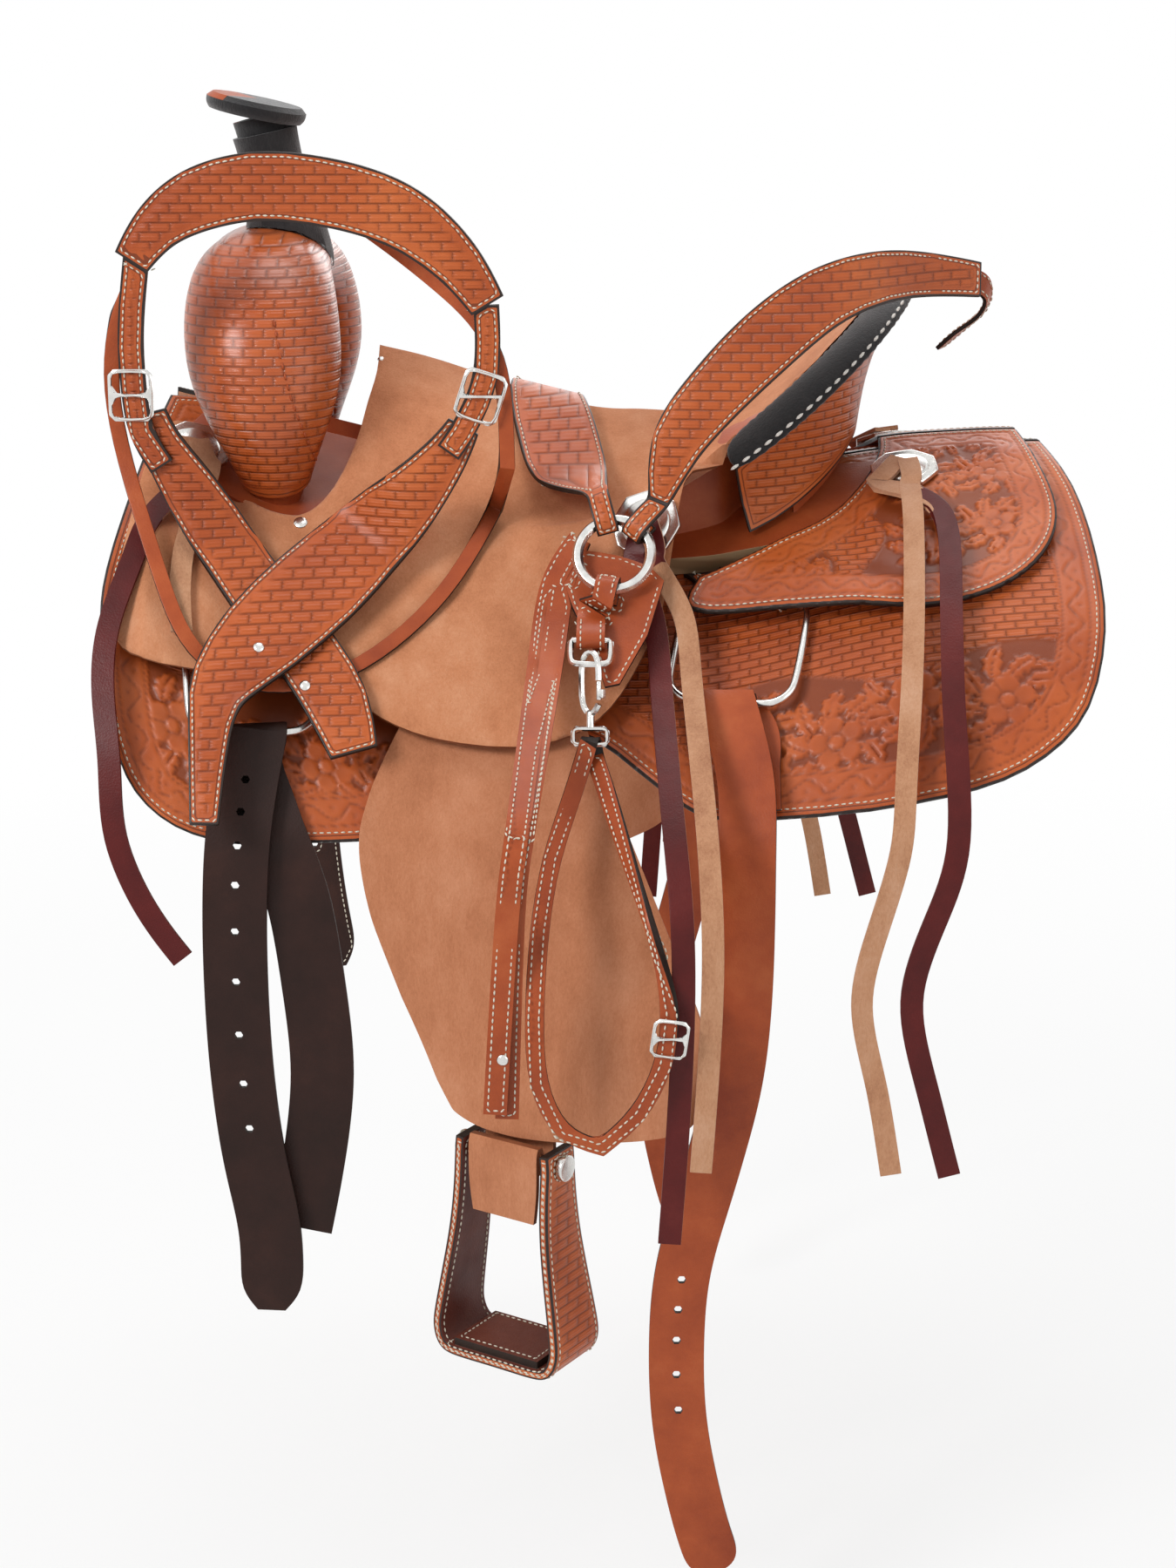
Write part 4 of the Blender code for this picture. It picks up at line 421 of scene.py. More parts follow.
def placeBalls(tree, finish, points, facing, axis, sizes, segments, rings):
    ball = addNode(tree, "GeometryNodeMeshUVSphere", {"Segments": segments, "Rings": rings, "Radius": 1.0})
    turn = addNode(tree, "FunctionNodeAlignRotationToVector", {"Vector": facing}, axis=axis)
    size = addNode(tree, "ShaderNodeCombineXYZ", dict(enumerate(sizes)))
    placed = {"Points": points, "Instance": ball.outputs[0], "Rotation": turn.outputs[0],
              "Scale": size.outputs[0]}
    place = addNode(tree, "GeometryNodeInstanceOnPoints", placed)
    real = addNode(tree, "GeometryNodeRealizeInstances", {0: place.outputs[0]})
    paint = addNode(tree, "GeometryNodeSetMaterial", {"Geometry": real.outputs[0], "Material": finish})
    addNode(tree, "NodeGroupOutput", {0: paint.outputs[0]})
    return tree


def stitchTree():
    tree, given = startTree("stitchRun", "Spacing", "Stitch length", "Thread radius")
    curve = addNode(tree, "GeometryNodeMeshToCurve", {0: given["Geometry"]}).outputs[0]
    evenly = {"Curve": curve, "Length": given["Spacing"]}
    points = addNode(tree, "GeometryNodeResampleCurve", evenly, mode="LENGTH")
    tangent = addNode(tree, "GeometryNodeInputTangent").outputs[0]
    sizes = (times(tree, given["Stitch length"], 0.5), given["Thread radius"], given["Thread radius"])
    return placeBalls(tree, given["Finish"], points.outputs[0], tangent, "X", sizes, 6, 4)


def studTree():
    tree, given = startTree("studs", "Radius", "Height")
    facing = addNode(tree, "GeometryNodeInputNamedAttribute", {"Name": "facing"}, data_type="FLOAT_VECTOR")
    points = addNode(tree, "GeometryNodeMeshToPoints", {"Mesh": given["Geometry"]}).outputs[0]
    sizes = (given["Radius"], given["Radius"], given["Height"])
    return placeBalls(tree, given["Finish"], points, facing.outputs["Attribute"], "Z", sizes, 14, 6)


def grow(name, mesh, nodes, values, body, slot):
    item = addItem(name, mesh)
    modifier = item.modifiers.new("pieces", "NODES")
    modifier.node_group = nodes
    for socket in nodes.interface.items_tree:
        if socket.name in values:
            modifier[socket.identifier] = values[socket.name]
    bake(item)
    item.data.shade_smooth()
    settle(item, body, slot)


stitching = {"spacing": 0.0050, "length": 0.0037, "radius": 0.0006, "lift": 0.0001}
stitchNodes = stitchTree()
stitchRuns = {}


def addRun(body, points, closed=True, kind="thread", scale=1.0):
    stitchRuns.setdefault((body, kind, scale), []).append(([Vector(p) for p in points], closed))


def sewRuns():
    for (body, kind, scale), runs in stitchRuns.items():
        verts = []
        edges = []
        for points, closed in runs:
            first = len(verts)
            verts += points
            edges += [(first + k, first + k + 1) for k in range(len(points) - 1)]
            if closed:
                edges.append((len(verts) - 1, first))
        mesh = bpy.data.meshes.new("run")
        mesh.from_pydata([tuple(v) for v in verts], edges, [])
        values = {"Spacing": stitching["spacing"] * scale, "Stitch length": stitching["length"] * scale,
                  "Thread radius": stitching["radius"] * scale, "Finish": looks[kind]}
        grow("stitches-%s-%s-%d" % (body, kind, scale * 10), mesh, stitchNodes, values, body, "tooled_leather")
    print("stitch runs sewn:", len(stitchRuns))


# A skin is a rounded, smooth copy of a CAD node. A group of faces wider than wall is a side, the rest is edge
skins = {}
skinSizes = {"wall": 0.006, "weaveFrom": 0.0065, "weaveFade": 0.0015, "farRim": 0.05, "joinFaces": 14,
             "joinShape": 120, "segments": 2}


def skin(node, look, edge=None, third=None, bevel=0.0007, levels=2, limit=50, stitch=0.0, inner=None,
         choose=None):
    bm = copyNode(node)
    bmesh.ops.join_triangles(bm, faces=bm.faces, angle_face_threshold=math.radians(skinSizes["joinFaces"]),
                             angle_shape_threshold=math.radians(skinSizes["joinShape"]))
    groups = sideRegions(bm, math.radians(limit))
    index = [1] * len(bm.faces)
    bm.faces.index_update()
    wide = []
    for group in groups:
        rim = sum(l.edge.calc_length() for f in group for l in f.loops
                  if len(l.edge.link_faces) < 2 or l.edge.calc_face_angle(0.0) >= math.radians(limit))
        if 2 * sum(f.calc_area() for f in group) / max(rim, 1e-6) > skinSizes["wall"]:
            wide.append(group)
    wide.sort(key=lambda g: sum(f.calc_center_median().x for f in g) / len(g))
    for group in wide:
        for face in group:
            toward = (inner - face.calc_center_median()).normalized() if inner else None
            index[face.index] = 2 if inner and face.normal.dot(toward) > 0.4 else 0
    for face in bm.faces:
        face.material_index = choose(face) if choose else index[face.index] if edge else 0
    outline = []
    for group in wide:
        for run in regionLoops(group):
            outline.append([p for p, _, _ in run])
            if stitch:
                addRun(bodyOf[node], insetRun(run, stitch, stitching["lift"]))
    mesh = bpy.data.meshes.new(node + "-skin")
    bm.to_mesh(mesh)
    bm.free()
    item = addItem(node + "-skin", mesh, *(looks[name] for name in (look, edge, third) if name))
    if bevel:
        rounding = item.modifiers.new("rounding", "BEVEL")
        rounding.width = bevel
        rounding.segments = skinSizes["segments"]
        rounding.limit_method = "ANGLE"
        rounding.angle_limit = math.radians(limit)
        rounding.use_clamp_overlap = True
    smooth = item.modifiers.new("smooth", "SUBSURF")
    smooth.levels = smooth.render_levels = levels
    bake(item)
    points = np.empty(len(item.data.vertices) * 3)
    item.data.vertices.foreach_get("co", points)
    points = points.reshape(-1, 3)
    starts = [tuple(p) for run in outline for p in run]
    ends = [tuple(run[(k + 1) % len(run)]) for run in outline for k in range(len(run))]
    rim = segmentDistance(points, starts, ends)[0] if starts else np.full(len(points), skinSizes["farRim"])
    weave = np.clip((rim - skinSizes["weaveFrom"]) / skinSizes["weaveFade"], 0, 1)
    setLayers(item.data, points[:, [0, 2]], rim=rim, carve=np.ones(len(points)), weave=weave)
    item.data.shade_smooth()
    skins[node] = settle(item, bodyOf[node], slotOf[node], node)
    return item


# The saddle's form, as the source lays its layers out: x along, t down the side
form = {
    "lowX": 0.060, "lowZ": 0.040, "frontRise": 0.55, "rearRise": 0.031, "rearLength": 0.130,
    "frontX": -0.350, "rearX": 0.360, "topFront": 24, "topRear": 10, "edgeFront": 66, "edgeRear": 58,
    "hang": 88, "depth": 0.360, "hangDepth": 0.500,
    "seatFront": 0.054, "seatMiddle": 0.029, "seatHalf": 0.175, "dish": 0.085,
    "rimX": 0.213, "rimSweep": 0.138, "rimHalf": 0.128, "rimTop": 0.183, "rimEnd": 0.073,
    "skirt": 0.005, "jockey": 0.0045, "jockeyLift": 0.0226, "lowLift": 0.0108,
}


def ease(value):
    value = np.clip(value, 0.0, 1.0)
    return value * value * (3.0 - 2.0 * value)


def arcRun(t, start, end, length):
    rate = (end - start) / length
    angle = start + rate * t
    return (np.sin(angle) - np.sin(start)) / rate, (np.cos(start) - np.cos(angle)) / rate, angle


def formAt(x, t, lift):
    # Points of the form on the near side, y counted positive here
    x = np.asarray(x, float)
    t = np.asarray(t, float)
    f = form
    spine = np.where(x < f["lowX"], f["lowZ"] + f["frontRise"] * (x - f["lowX"]) ** 2,
                     f["lowZ"] + f["rearRise"] * (1 - np.exp(-((x - f["lowX"]) / f["rearLength"]) ** 2)))
    along = (x - f["frontX"]) / (f["rearX"] - f["frontX"])
    top = np.radians(f["topFront"] + (f["topRear"] - f["topFront"]) * along)
    low = np.radians(f["edgeFront"] + (f["edgeRear"] - f["edgeFront"]) * along)
    across, down, angle = arcRun(np.minimum(t, f["depth"]), top, low, f["depth"])
    more = np.clip(t - f["depth"], 0, None)
    moreAcross, moreDown, moreAngle = arcRun(more, low, math.radians(f["hang"]), f["hangDepth"] - f["depth"])
    past = t > f["depth"]
    across = across + np.where(past, moreAcross, 0)
    down = down + np.where(past, moreDown, 0)
    angle = np.where(past, moreAngle, angle)
    tilt = angle * ease(t / 0.06)
    return np.stack([x, across + lift * np.sin(tilt), spine - down + lift * np.cos(tilt)], -1)


def rimAt(angle):
    # The cantle's rim by the angle from its middle
    x = form["rimX"] - form["rimSweep"] * (1 - math.cos(angle)) ** 0.9
    rise = (form["rimTop"] - form["rimEnd"]) * max(0, math.cos(angle)) ** 1.15
    return x, -form["rimHalf"] * math.sin(angle), form["rimEnd"] + rise


def seatRise(x, t):
    f = form
    along = f["seatFront"] + (f["seatMiddle"] - f["seatFront"]) * ease((x + 0.14) / 0.17)
    along = along * (1 - 0.30 * ease((x - 0.03) / 0.08))
    return ease((x + 0.215) / 0.05) * along * np.maximum(0, 1 - (t / f["seatHalf"]) ** 2) ** 1.5


def jockeyBottom(x, t):
    lower = np.maximum(ease((-0.240 - x) / 0.024) * (1 - ease((t - 0.150) / 0.03)), ease((-0.312 - x) / 0.02))
    return form["jockeyLift"] + (form["lowLift"] - form["jockeyLift"]) * lower


def seatAt(x, t, extra):
    f = form
    point = formAt(x, t, jockeyBottom(x, t) + extra)
    point[..., 2] += seatRise(x, t)
    angle = np.arcsin(np.minimum(1.0, point[..., 1] / f["rimHalf"]))
    bend = (1 - np.cos(angle)) ** 0.9
    rimX = f["rimX"] - f["rimSweep"] * bend
    rimZ = f["rimEnd"] + (f["rimTop"] - f["rimEnd"]) * np.maximum(0, np.cos(angle)) ** 1.15
    body = formAt(rimX, t, jockeyBottom(rimX, t))[..., 2]
    height = np.maximum(0, rimZ - body - seatRise(rimX, t))
    bowl = height * (1 - np.tanh(np.maximum(0, rimX - x) / f["dish"]))
    point[..., 2] += bowl * (1 - ease((t - 0.135) / 0.055))
    return point


overSizes = {"start": 0.09, "reach": 0.12, "spreads": 40, "smooths": 5}


def layOver(node, x, t):
    # How high a CAD node's outer face stands over the form, smoothed over a grid
    bm = copyNode(node)
    tree = BVHTree.FromBMesh(bm)
    bm.free()
    gridX, gridT = np.meshgrid(x, t, indexing="ij")
    base = formAt(gridX, gridT, 0.0)
    facing = formAt(gridX, gridT, 1.0) - base
    lifts = np.full(gridX.shape, np.nan)
    for cell in np.ndindex(gridX.shape):
        start = Vector(base[cell] + facing[cell] * overSizes["start"])
        hit = tree.ray_cast(start, -Vector(facing[cell]), overSizes["reach"])
        if hit[0]:
            lifts[cell] = overSizes["start"] - hit[3]
    for _ in range(overSizes["spreads"]):   # into the cells that the node doesn't cover, then smoothed
        wide = np.pad(lifts, 1, constant_values=np.nan)
        around = np.stack([wide[1:-1, :-2], wide[1:-1, 2:], wide[:-2, 1:-1], wide[2:, 1:-1]])
        known = ~np.isnan(around)
        mean = np.where(known, around, 0).sum(0) / np.maximum(1, known.sum(0))
        lifts = np.where(np.isnan(lifts) & known.any(0), mean, lifts)
    for _ in range(overSizes["smooths"]):
        wide = np.pad(lifts, 1, mode="edge")
        lifts = (wide[1:-1, :-2] + wide[1:-1, 2:] + wide[:-2, 1:-1] + wide[2:, 1:-1] + 2 * lifts) / 6
    return lifts


rearSizes = {"from": 0.06, "to": 0.36, "down": 0.22, "cell": 0.005, "columns": 60, "rows": 44, "inside": 0.001}
rearLifts = layOver("rear_jockey_right",
                    np.linspace(rearSizes["from"], rearSizes["to"], rearSizes["columns"] + 1),
                    np.linspace(0.0, rearSizes["down"], rearSizes["rows"] + 1))


def rearAt(x, t, extra):
    s = rearSizes
    i = np.clip((np.asarray(x, float) - s["from"]) / s["cell"], 0, s["columns"] - s["inside"])
    k = np.clip(np.asarray(t, float) / s["cell"], 0, s["rows"] - s["inside"])
    i0, k0 = i.astype(int), k.astype(int)
    iShare, kShare = i - i0, k - k0
    lift = ((rearLifts[i0, k0] * (1 - iShare) + rearLifts[i0 + 1, k0] * iShare) * (1 - kShare)
            + (rearLifts[i0, k0 + 1] * (1 - iShare) + rearLifts[i0 + 1, k0 + 1] * iShare) * kShare)
    return formAt(x, t, lift - form["jockey"] + extra)


def smoothLine(points, steps):
    points = [np.array(p, float) for p in points]
    last = len(points) - 1
    result = []
    for i in range(last):
        a, b, c, d = points[max(i - 1, 0)], points[i], points[i + 1], points[min(i + 2, last)]
        for k in range(steps):
            s = k / steps
            result.append(0.5 * (2 * b + (c - a) * s + (2 * a - 5 * b + 4 * c - d) * s ** 2
                                 + (3 * b - a - 3 * c + d) * s ** 3))
    return np.array(result + [points[last]])


def evenRun(points, spacing):
    points = np.asarray(points, float)
    points = np.vstack([points, points[:1]])
    walked = np.concatenate([[0], np.cumsum(np.linalg.norm(np.diff(points, axis=0), axis=1))])
    where = np.linspace(0, walked[-1], max(3, int(walked[-1] / spacing)), endpoint=False)
    return np.stack([np.interp(where, walked, points[:, k]) for k in range(points.shape[1])], 1)


def levelCuts(ring, after, y):
    # Where the outline crosses a level line
    crossed = (ring[:, 1] > y) != (after[:, 1] > y)
    a, b = ring[crossed], after[crossed]
    return a[:, 0] + (y - a[:, 1]) * (b[:, 0] - a[:, 0]) / (b[:, 1] - a[:, 1])


def flatSheet(ring, spacing):
    # Triangles over an outline in (x, t), as even as a hexagonal grid allows
    low, high = ring.min(0), ring.max(0)
    after = np.roll(ring, -1, 0)
    grid = []
    for k, y in enumerate(np.arange(low[1] + spacing * 0.3, high[1], spacing * 0.866)):
        xs = np.arange(low[0] + (k % 2) * spacing / 2, high[0], spacing)
        xs = xs[np.searchsorted(np.sort(levelCuts(ring, after, y)), xs) % 2 == 1]
        grid.append(np.stack([xs, np.full(len(xs), y)], 1))
    grid = np.vstack(grid)
    grid = grid[segmentDistance(grid, ring, after)[0] > spacing * 0.55]
    points = [Vector(p) for p in np.vstack([ring, grid])]
    count = len(ring)
    edges = [(k, (k + 1) % count) for k in range(count)]
    verts, _, faces, _, _, _ = delaunay_2d_cdt(points, edges, [], 1, 1e-9, False)
    places = np.array([tuple(v) for v in verts])
    kept = []
    for face in faces:
        if max(face) < count:   # a triangle between outline points may lie outside a hollow in the outline
            middle = places[face].mean(0)
            if (levelCuts(ring, after, middle[1]) < middle[0]).sum() % 2 == 0:
                continue
        kept.append(list(face))
    return places, kept


# Carving: height and colour of the tooled patterns, in the sheet's own coordinates
def petalFlower(points, centre, radius, turn=0.0):
    # 1 on the petals, falling to 0 in the cuts between them; also a mask that is 1 inside the flower's outline
    offset = points - np.asarray(centre)
    reach = np.hypot(offset[:, 0], offset[:, 1]) / radius
    angle = np.arctan2(offset[:, 1], offset[:, 0]) + turn
    lobe = np.abs(np.cos(2.5 * angle))
    edge = 0.62 + 0.38 * lobe ** 0.6
    inside = np.clip((edge - reach) / 0.10, 0, 1)
    cut = np.clip(lobe * 6.0 * np.clip(reach, 0.2, 1), 0, 1)
    cup = 0.55 + 0.45 * np.clip(reach / edge, 0, 1) ** 2
    middle = np.clip((0.26 - reach) / 0.05, 0, 1)
    ringCut = 1 - np.clip(1 - np.abs(reach - 0.30) / 0.05, 0, 1)
    height = inside * cup * (0.35 + 0.65 * cut) * ringCut
    return np.maximum(height, middle * 0.85), inside


def leafShape(points, base, tip, width):
    base = np.asarray(base, float)
    tip = np.asarray(tip, float)
    span = tip - base
    length = np.hypot(*span)
    along = ((points - base) @ span) / length ** 2
    across = (points - base) @ np.array([-span[1], span[0]]) / length
    bow = across + 0.18 * length * np.sin(np.pi * np.clip(along, 0, 1)) * 0.5
    half = width * np.sin(np.pi * np.clip(along, 0, 1) ** 0.75) * (1 + 0.18 * np.cos(along * 26))
    inside = np.clip((half - np.abs(bow)) / 0.0012, 0, 1) * (along > 0) * (along < 1)
    vein = np.clip(np.abs(bow) / 0.0011, 0.15, 1)
    ribs = 0.8 + 0.2 * np.abs(np.cos((along * length - np.abs(bow)) * 900))
    return inside * vein * ribs, inside


def stemShape(points, path, width):
    gap, _ = segmentDistance(points, path[:-1], path[1:])
    inside = np.clip((width - gap) / 0.0008, 0, 1)
    groove = np.clip(gap / 0.0008, 0.35, 1)
    return inside * groove, inside


def floralCarving(points, blooms, stems, leaves):
    height = np.zeros(len(points))
    cover = np.zeros(len(points))
    for path in stems:
        h, c = stemShape(points, smoothLine(path, 8), 0.0030)
        height, cover = np.maximum(height, h), np.maximum(cover, c)
    for base, tip, width in leaves:
        h, c = leafShape(points, base, tip, width)
        height = np.where(c > 0.3, h, height)
        cover = np.maximum(cover, c)
    for centre, radius, turn in blooms:
        h, c = petalFlower(points, centre, radius, turn)
        height = np.where(c > 0.3, h, height)
        cover = np.maximum(cover, c)
    return height, cover


def vine(start, end, bloomsAt, sway=0.022, radius=0.021):
    # A running stem with flowers in its bends and leaves packed between them
    start = np.asarray(start, float)
    end = np.asarray(end, float)
    span = end - start
    length = np.hypot(*span)
    ahead = span / length
    side = np.array([-ahead[1], ahead[0]])
    waves = len(bloomsAt)
    stem = [tuple(start + span * s + side * sway * math.sin(math.pi * waves * s))
            for s in np.linspace(0, 1, 6 * waves + 1)]
    blooms = []
    leaves = []
    for k, s in enumerate(bloomsAt):
        bend = -1 if k % 2 == 0 else 1
        centre = start + span * s + side * sway * bend * 0.55
        blooms.append((tuple(centre), radius, 0.5 * k))
        for j in range(9):
            turn = 2 * math.pi * (j + 0.35 * k) / 9
            way = ahead * math.cos(turn) + side * math.sin(turn)
            swirl = ahead * math.cos(turn + 0.55) + side * math.sin(turn + 0.55)
            leaves.append((tuple(centre + way * radius * 0.85),
                           tuple(centre + swirl * radius * (2.0 + 0.25 * (j % 2))), radius * 0.34))
    return blooms, [stem], leaves


def serpentine(away, along, middle, depth, wavelength):
    # The wavy border: two edge lines and a wave between them, each cut into the face
    wave = middle + depth * np.sin(2 * np.pi * along / wavelength)
    cut = np.clip(1 - np.abs(away - wave) / 0.0016, 0, 1)
    for line in (middle - depth - 0.0045, middle + depth + 0.0045):
        cut = np.maximum(cut, np.clip(1 - np.abs(away - line) / 0.0011, 0, 1))
    turned = np.sign(np.sin(2 * np.pi * along / wavelength + np.pi))
    seeds = np.clip(1 - np.hypot(away - middle - 0.6 * depth * turned,
                                 ((along / wavelength * 2) % 1 - 0.5) * wavelength / 2) / 0.0022, 0, 1)
    return np.maximum(cut, seeds * 0.8)


panelSizes = {"sink": 0.0003, "rounding": 0.0011, "roundFrom": 0.0018, "probe": 1e-3, "underCells": 5,
              "onCentre": 1e-5, "weld": 2e-5, "farRim": 0.05}


def leatherPanel(name, node, outline, surface, thickness, spacing, pattern, look, edge, side, mirror=False,
                 stitch=0.0):
    # A tooled sheet over the form: worked top, plain underside and a wall between them
    s = panelSizes
    ring = evenRun(outline, spacing)
    after = np.roll(ring, -1, 0)
    flat, faces = flatSheet(ring, spacing)
    outer = np.maximum(ring[:, 1], after[:, 1]) > (s["onCentre"] if mirror else -1.0)
    away, along = segmentDistance(flat, ring[outer], after[outer])
    height, carve, weave = pattern(flat, away, along)
    rounding = -s["rounding"] * np.clip(1 - away / s["roundFrom"], 0, 1) ** 2
    count = len(flat)
    x, t = flat[:, 0], flat[:, 1]
    top = surface(x, t, thickness - s["sink"])
    du = surface(x + s["probe"], t, thickness) - surface(x - s["probe"], t, thickness)
    dv = surface(x, t + s["probe"], thickness) - surface(x, np.abs(t - s["probe"]), thickness)
    normal = np.cross(dv, du)
    normal[t < 2 * s["probe"], 1] = 0.0
    normal /= np.linalg.norm(normal, axis=1)[:, None] + 1e-12
    normal *= np.sign(normal[:, 2:3] + 1e-9)
    top = top + normal * (height + rounding)[:, None]
    coarse, lowFaces = flatSheet(ring, spacing * s["underCells"])
    under = surface(coarse[:, 0], coarse[:, 1], s["sink"])
    rim = len(ring)
    index = [0] * len(faces) + [2] * len(lowFaces)
    polys = faces + [[count + k for k in f[::-1]] for f in lowFaces]
    for k in range(rim):
        m = (k + 1) % rim
        if mirror and t[k] < s["onCentre"] and t[m] < s["onCentre"]:
            continue
        polys.append([m, k, count + k, count + m])
        index.append(1)
    item = makeObject(name, np.vstack([top, under]), polys, looks[look], looks[edge], looks["rough"])
    item.data.polygons.foreach_set("material_index", index)
    below = np.ones(len(under))
    setLayers(item.data, np.vstack([flat, coarse]), rim=np.concatenate([away, below * s["farRim"]]),
              carve=np.concatenate([carve, below]), weave=np.concatenate([weave, below * 0]))
    bm = bmesh.new()
    bm.from_mesh(item.data)
    if side < 0:
        for vert in bm.verts:
            vert.co.y = -vert.co.y
    if mirror:
        made = bmesh.ops.duplicate(bm, geom=bm.verts[:] + bm.edges[:] + bm.faces[:])
        for vert in [v for v in made["geom"] if isinstance(v, bmesh.types.BMVert)]:
            vert.co.y = -vert.co.y
        bmesh.ops.reverse_faces(bm, faces=[f for f in made["geom"] if isinstance(f, bmesh.types.BMFace)])
        bmesh.ops.remove_doubles(bm, verts=[v for v in bm.verts if abs(v.co.y) < s["weld"]], dist=s["weld"])
    bmesh.ops.recalc_face_normals(bm, faces=bm.faces)
    bm.to_mesh(item.data)
    bm.free()
    item.data.shade_smooth()
    item.data.set_sharp_from_angle(angle=math.radians(60))
    if stitch:
        inner = insetRing(ring, stitch)
        lay = surface(inner[:, 0], inner[:, 1], thickness - s["sink"] + stitching["lift"])
        addRun(bodyOf[node], [(p[0], p[1] * side, p[2]) for p in lay])
    settle(item, bodyOf[node], slotOf[node], node)
    print("panel", name, len(item.data.polygons))
    return item


def insetRing(ring, distance):
    after = np.roll(ring, -1, 0)
    along = after - np.roll(ring, 1, 0)
    along /= np.linalg.norm(along, axis=1)[:, None] + 1e-12
    area = (ring[:, 0] * after[:, 1] - after[:, 0] * ring[:, 1]).sum()
    inner = ring + np.stack([-along[:, 1], along[:, 0]], 1) * (1 if area > 0 else -1) * distance
    away = segmentDistance(inner, ring, after)[0]
    return inner[(away > distance * 0.97) & (inner[:, 1] > 0.0)]


# Rivets: flattened domes set along a facing direction
studNodes = studTree()
studSets = {}


def setStuds():
    for number, ((body, radius, height), places) in enumerate(studSets.items()):
        mesh = bpy.data.meshes.new("studs")
        mesh.from_pydata([p for p, _ in places], [], [])
        layer = mesh.attributes.new("facing", "FLOAT_VECTOR", "POINT")
        layer.data.foreach_set("vector", np.array([n for _, n in places], np.float32).ravel())
        values = {"Radius": radius, "Height": height, "Finish": looks["nickel"]}
        grow("studs-%s-%d" % (body, number), mesh, studNodes, values, body, "nickel")
    print("stud sets:", len(studSets))


view = {"place": Vector((0.0, -2.259, 0.4477)), "pitch": math.radians(74), "lens": 68.16, "wide": 1350,
        "tall": 1800}
pixel = 36.0 / view["lens"] / view["tall"]


def onPiece(item, u, v):
    # The point and normal of a piece that the camera sees at a pixel of its frame
    right, up = (u - view["wide"] / 2) * pixel, (view["tall"] / 2 - v) * pixel
    tilt = view["pitch"]
    ahead = Vector((right, math.sin(tilt) + up * math.cos(tilt), -math.cos(tilt) + up * math.sin(tilt)))
    hit, point, normal, _ = item.ray_cast(view["place"], ahead)
    return (point, normal) if hit else None


def rivet(item, body, spot, radius=0.0042, height=0.0016):
    found = onPiece(item, *spot)
    if found:
        studSets.setdefault((body, radius, height), []).append(tuple(map(tuple, found)))


# Skirts
skirtSizes = {"spacing": 0.0021, "stitch": 0.0062, "border": 0.0205, "wave": 0.0052, "waveLength": 0.034,
              "margin": 0.0065}
skirtOutline = [(-0.315, 0.022), (-0.332, 0.13), (-0.345, 0.21), (-0.347, 0.25), (-0.343, 0.295),
                (-0.334, 0.336), (-0.318, 0.366), (-0.290, 0.381), (-0.250, 0.381), (-0.200, 0.368),
                (-0.144, 0.353),
                (-0.112, 0.325), (-0.085, 0.285), (-0.055, 0.262), (-0.025, 0.259), (0.009, 0.271),
                (0.040, 0.297), (0.071, 0.323), (0.100, 0.335), (0.197, 0.352), (0.270, 0.349), (0.318, 0.330),
                (0.350, 0.295), (0.366, 0.235), (0.367, 0.165), (0.360, 0.080), (0.346, 0.005)]
skirtTop = [(0.20, 0.004), (0.0, 0.004), (-0.20, 0.004), (-0.29, 0.008)]
cutDepths = {"ground": 0.0012, "relief": 0.0019, "outline": 0.0007, "border": 0.0009}


def tool(points, away, along, floral, vines, sizes):
    # Depth, shade and weave mask of one panel: border, flowers on a sunk ground, weave elsewhere
    weaveFrom = sizes["border"] + sizes["wave"] + sizes["margin"]
    reach = floral(points)
    inner = np.clip((away - weaveFrom) / 0.0012, 0, 1)
    ground = np.clip(reach / 0.0015, 0, 1) * inner
    raised, _ = floralCarving(points, *vines)
    line = np.clip(1 - np.abs(reach) / 0.0014, 0, 1) * inner
    cut = serpentine(away, along, sizes["border"], sizes["wave"], sizes["waveLength"])
    cut = cut * (away < weaveFrom + 0.001)
    height = ground * (raised * cutDepths["relief"] - cutDepths["ground"]) - line * cutDepths["outline"]
    height -= cut * cutDepths["border"]
    carve = 1 - (ground * (1 - np.clip(raised * 1.15, 0, 1)) * 0.9 + line * 0.5) - cut * 0.75
    return height, np.clip(carve, 0, 1), inner * (1 - np.clip(reach / 0.0010 + 0.5, 0, 1))


def joined(parts):
    return tuple(sum((part[k] for part in parts), []) for k in range(3))


def skirtPattern(points, away, along):
    def floral(p):
        line = np.where(p[:, 0] < -0.05, 0.262 + 0.010 * np.sin(p[:, 0] * 40),
                        0.246 + 0.010 * np.sin(p[:, 0] * 36))
        middle = np.clip((np.abs(p[:, 0] + 0.03) - 0.10) * 2, -0.05, 0.01)
        return np.minimum(p[:, 1] - line, middle)
    front = vine((-0.325, 0.318), (-0.125, 0.318), (0.16, 0.42, 0.70, 0.93), 0.014, 0.020)
    rear = vine((0.085, 0.296), (0.345, 0.272), (0.12, 0.34, 0.56, 0.80), 0.016, 0.021)
    return tool(points, away, along, floral, joined((front, rear)), skirtSizes)


for way, name in ((-1, "left"), (1, "right")):
    line = np.vstack([smoothLine(skirtOutline, 3), np.array(skirtTop)])
    leatherPanel("skirt-%s-panel" % name, "skirt_" + name, line, formAt, form["skirt"], skirtSizes["spacing"],
                 skirtPattern, "tooled", "edge", way, stitch=skirtSizes["stitch"])


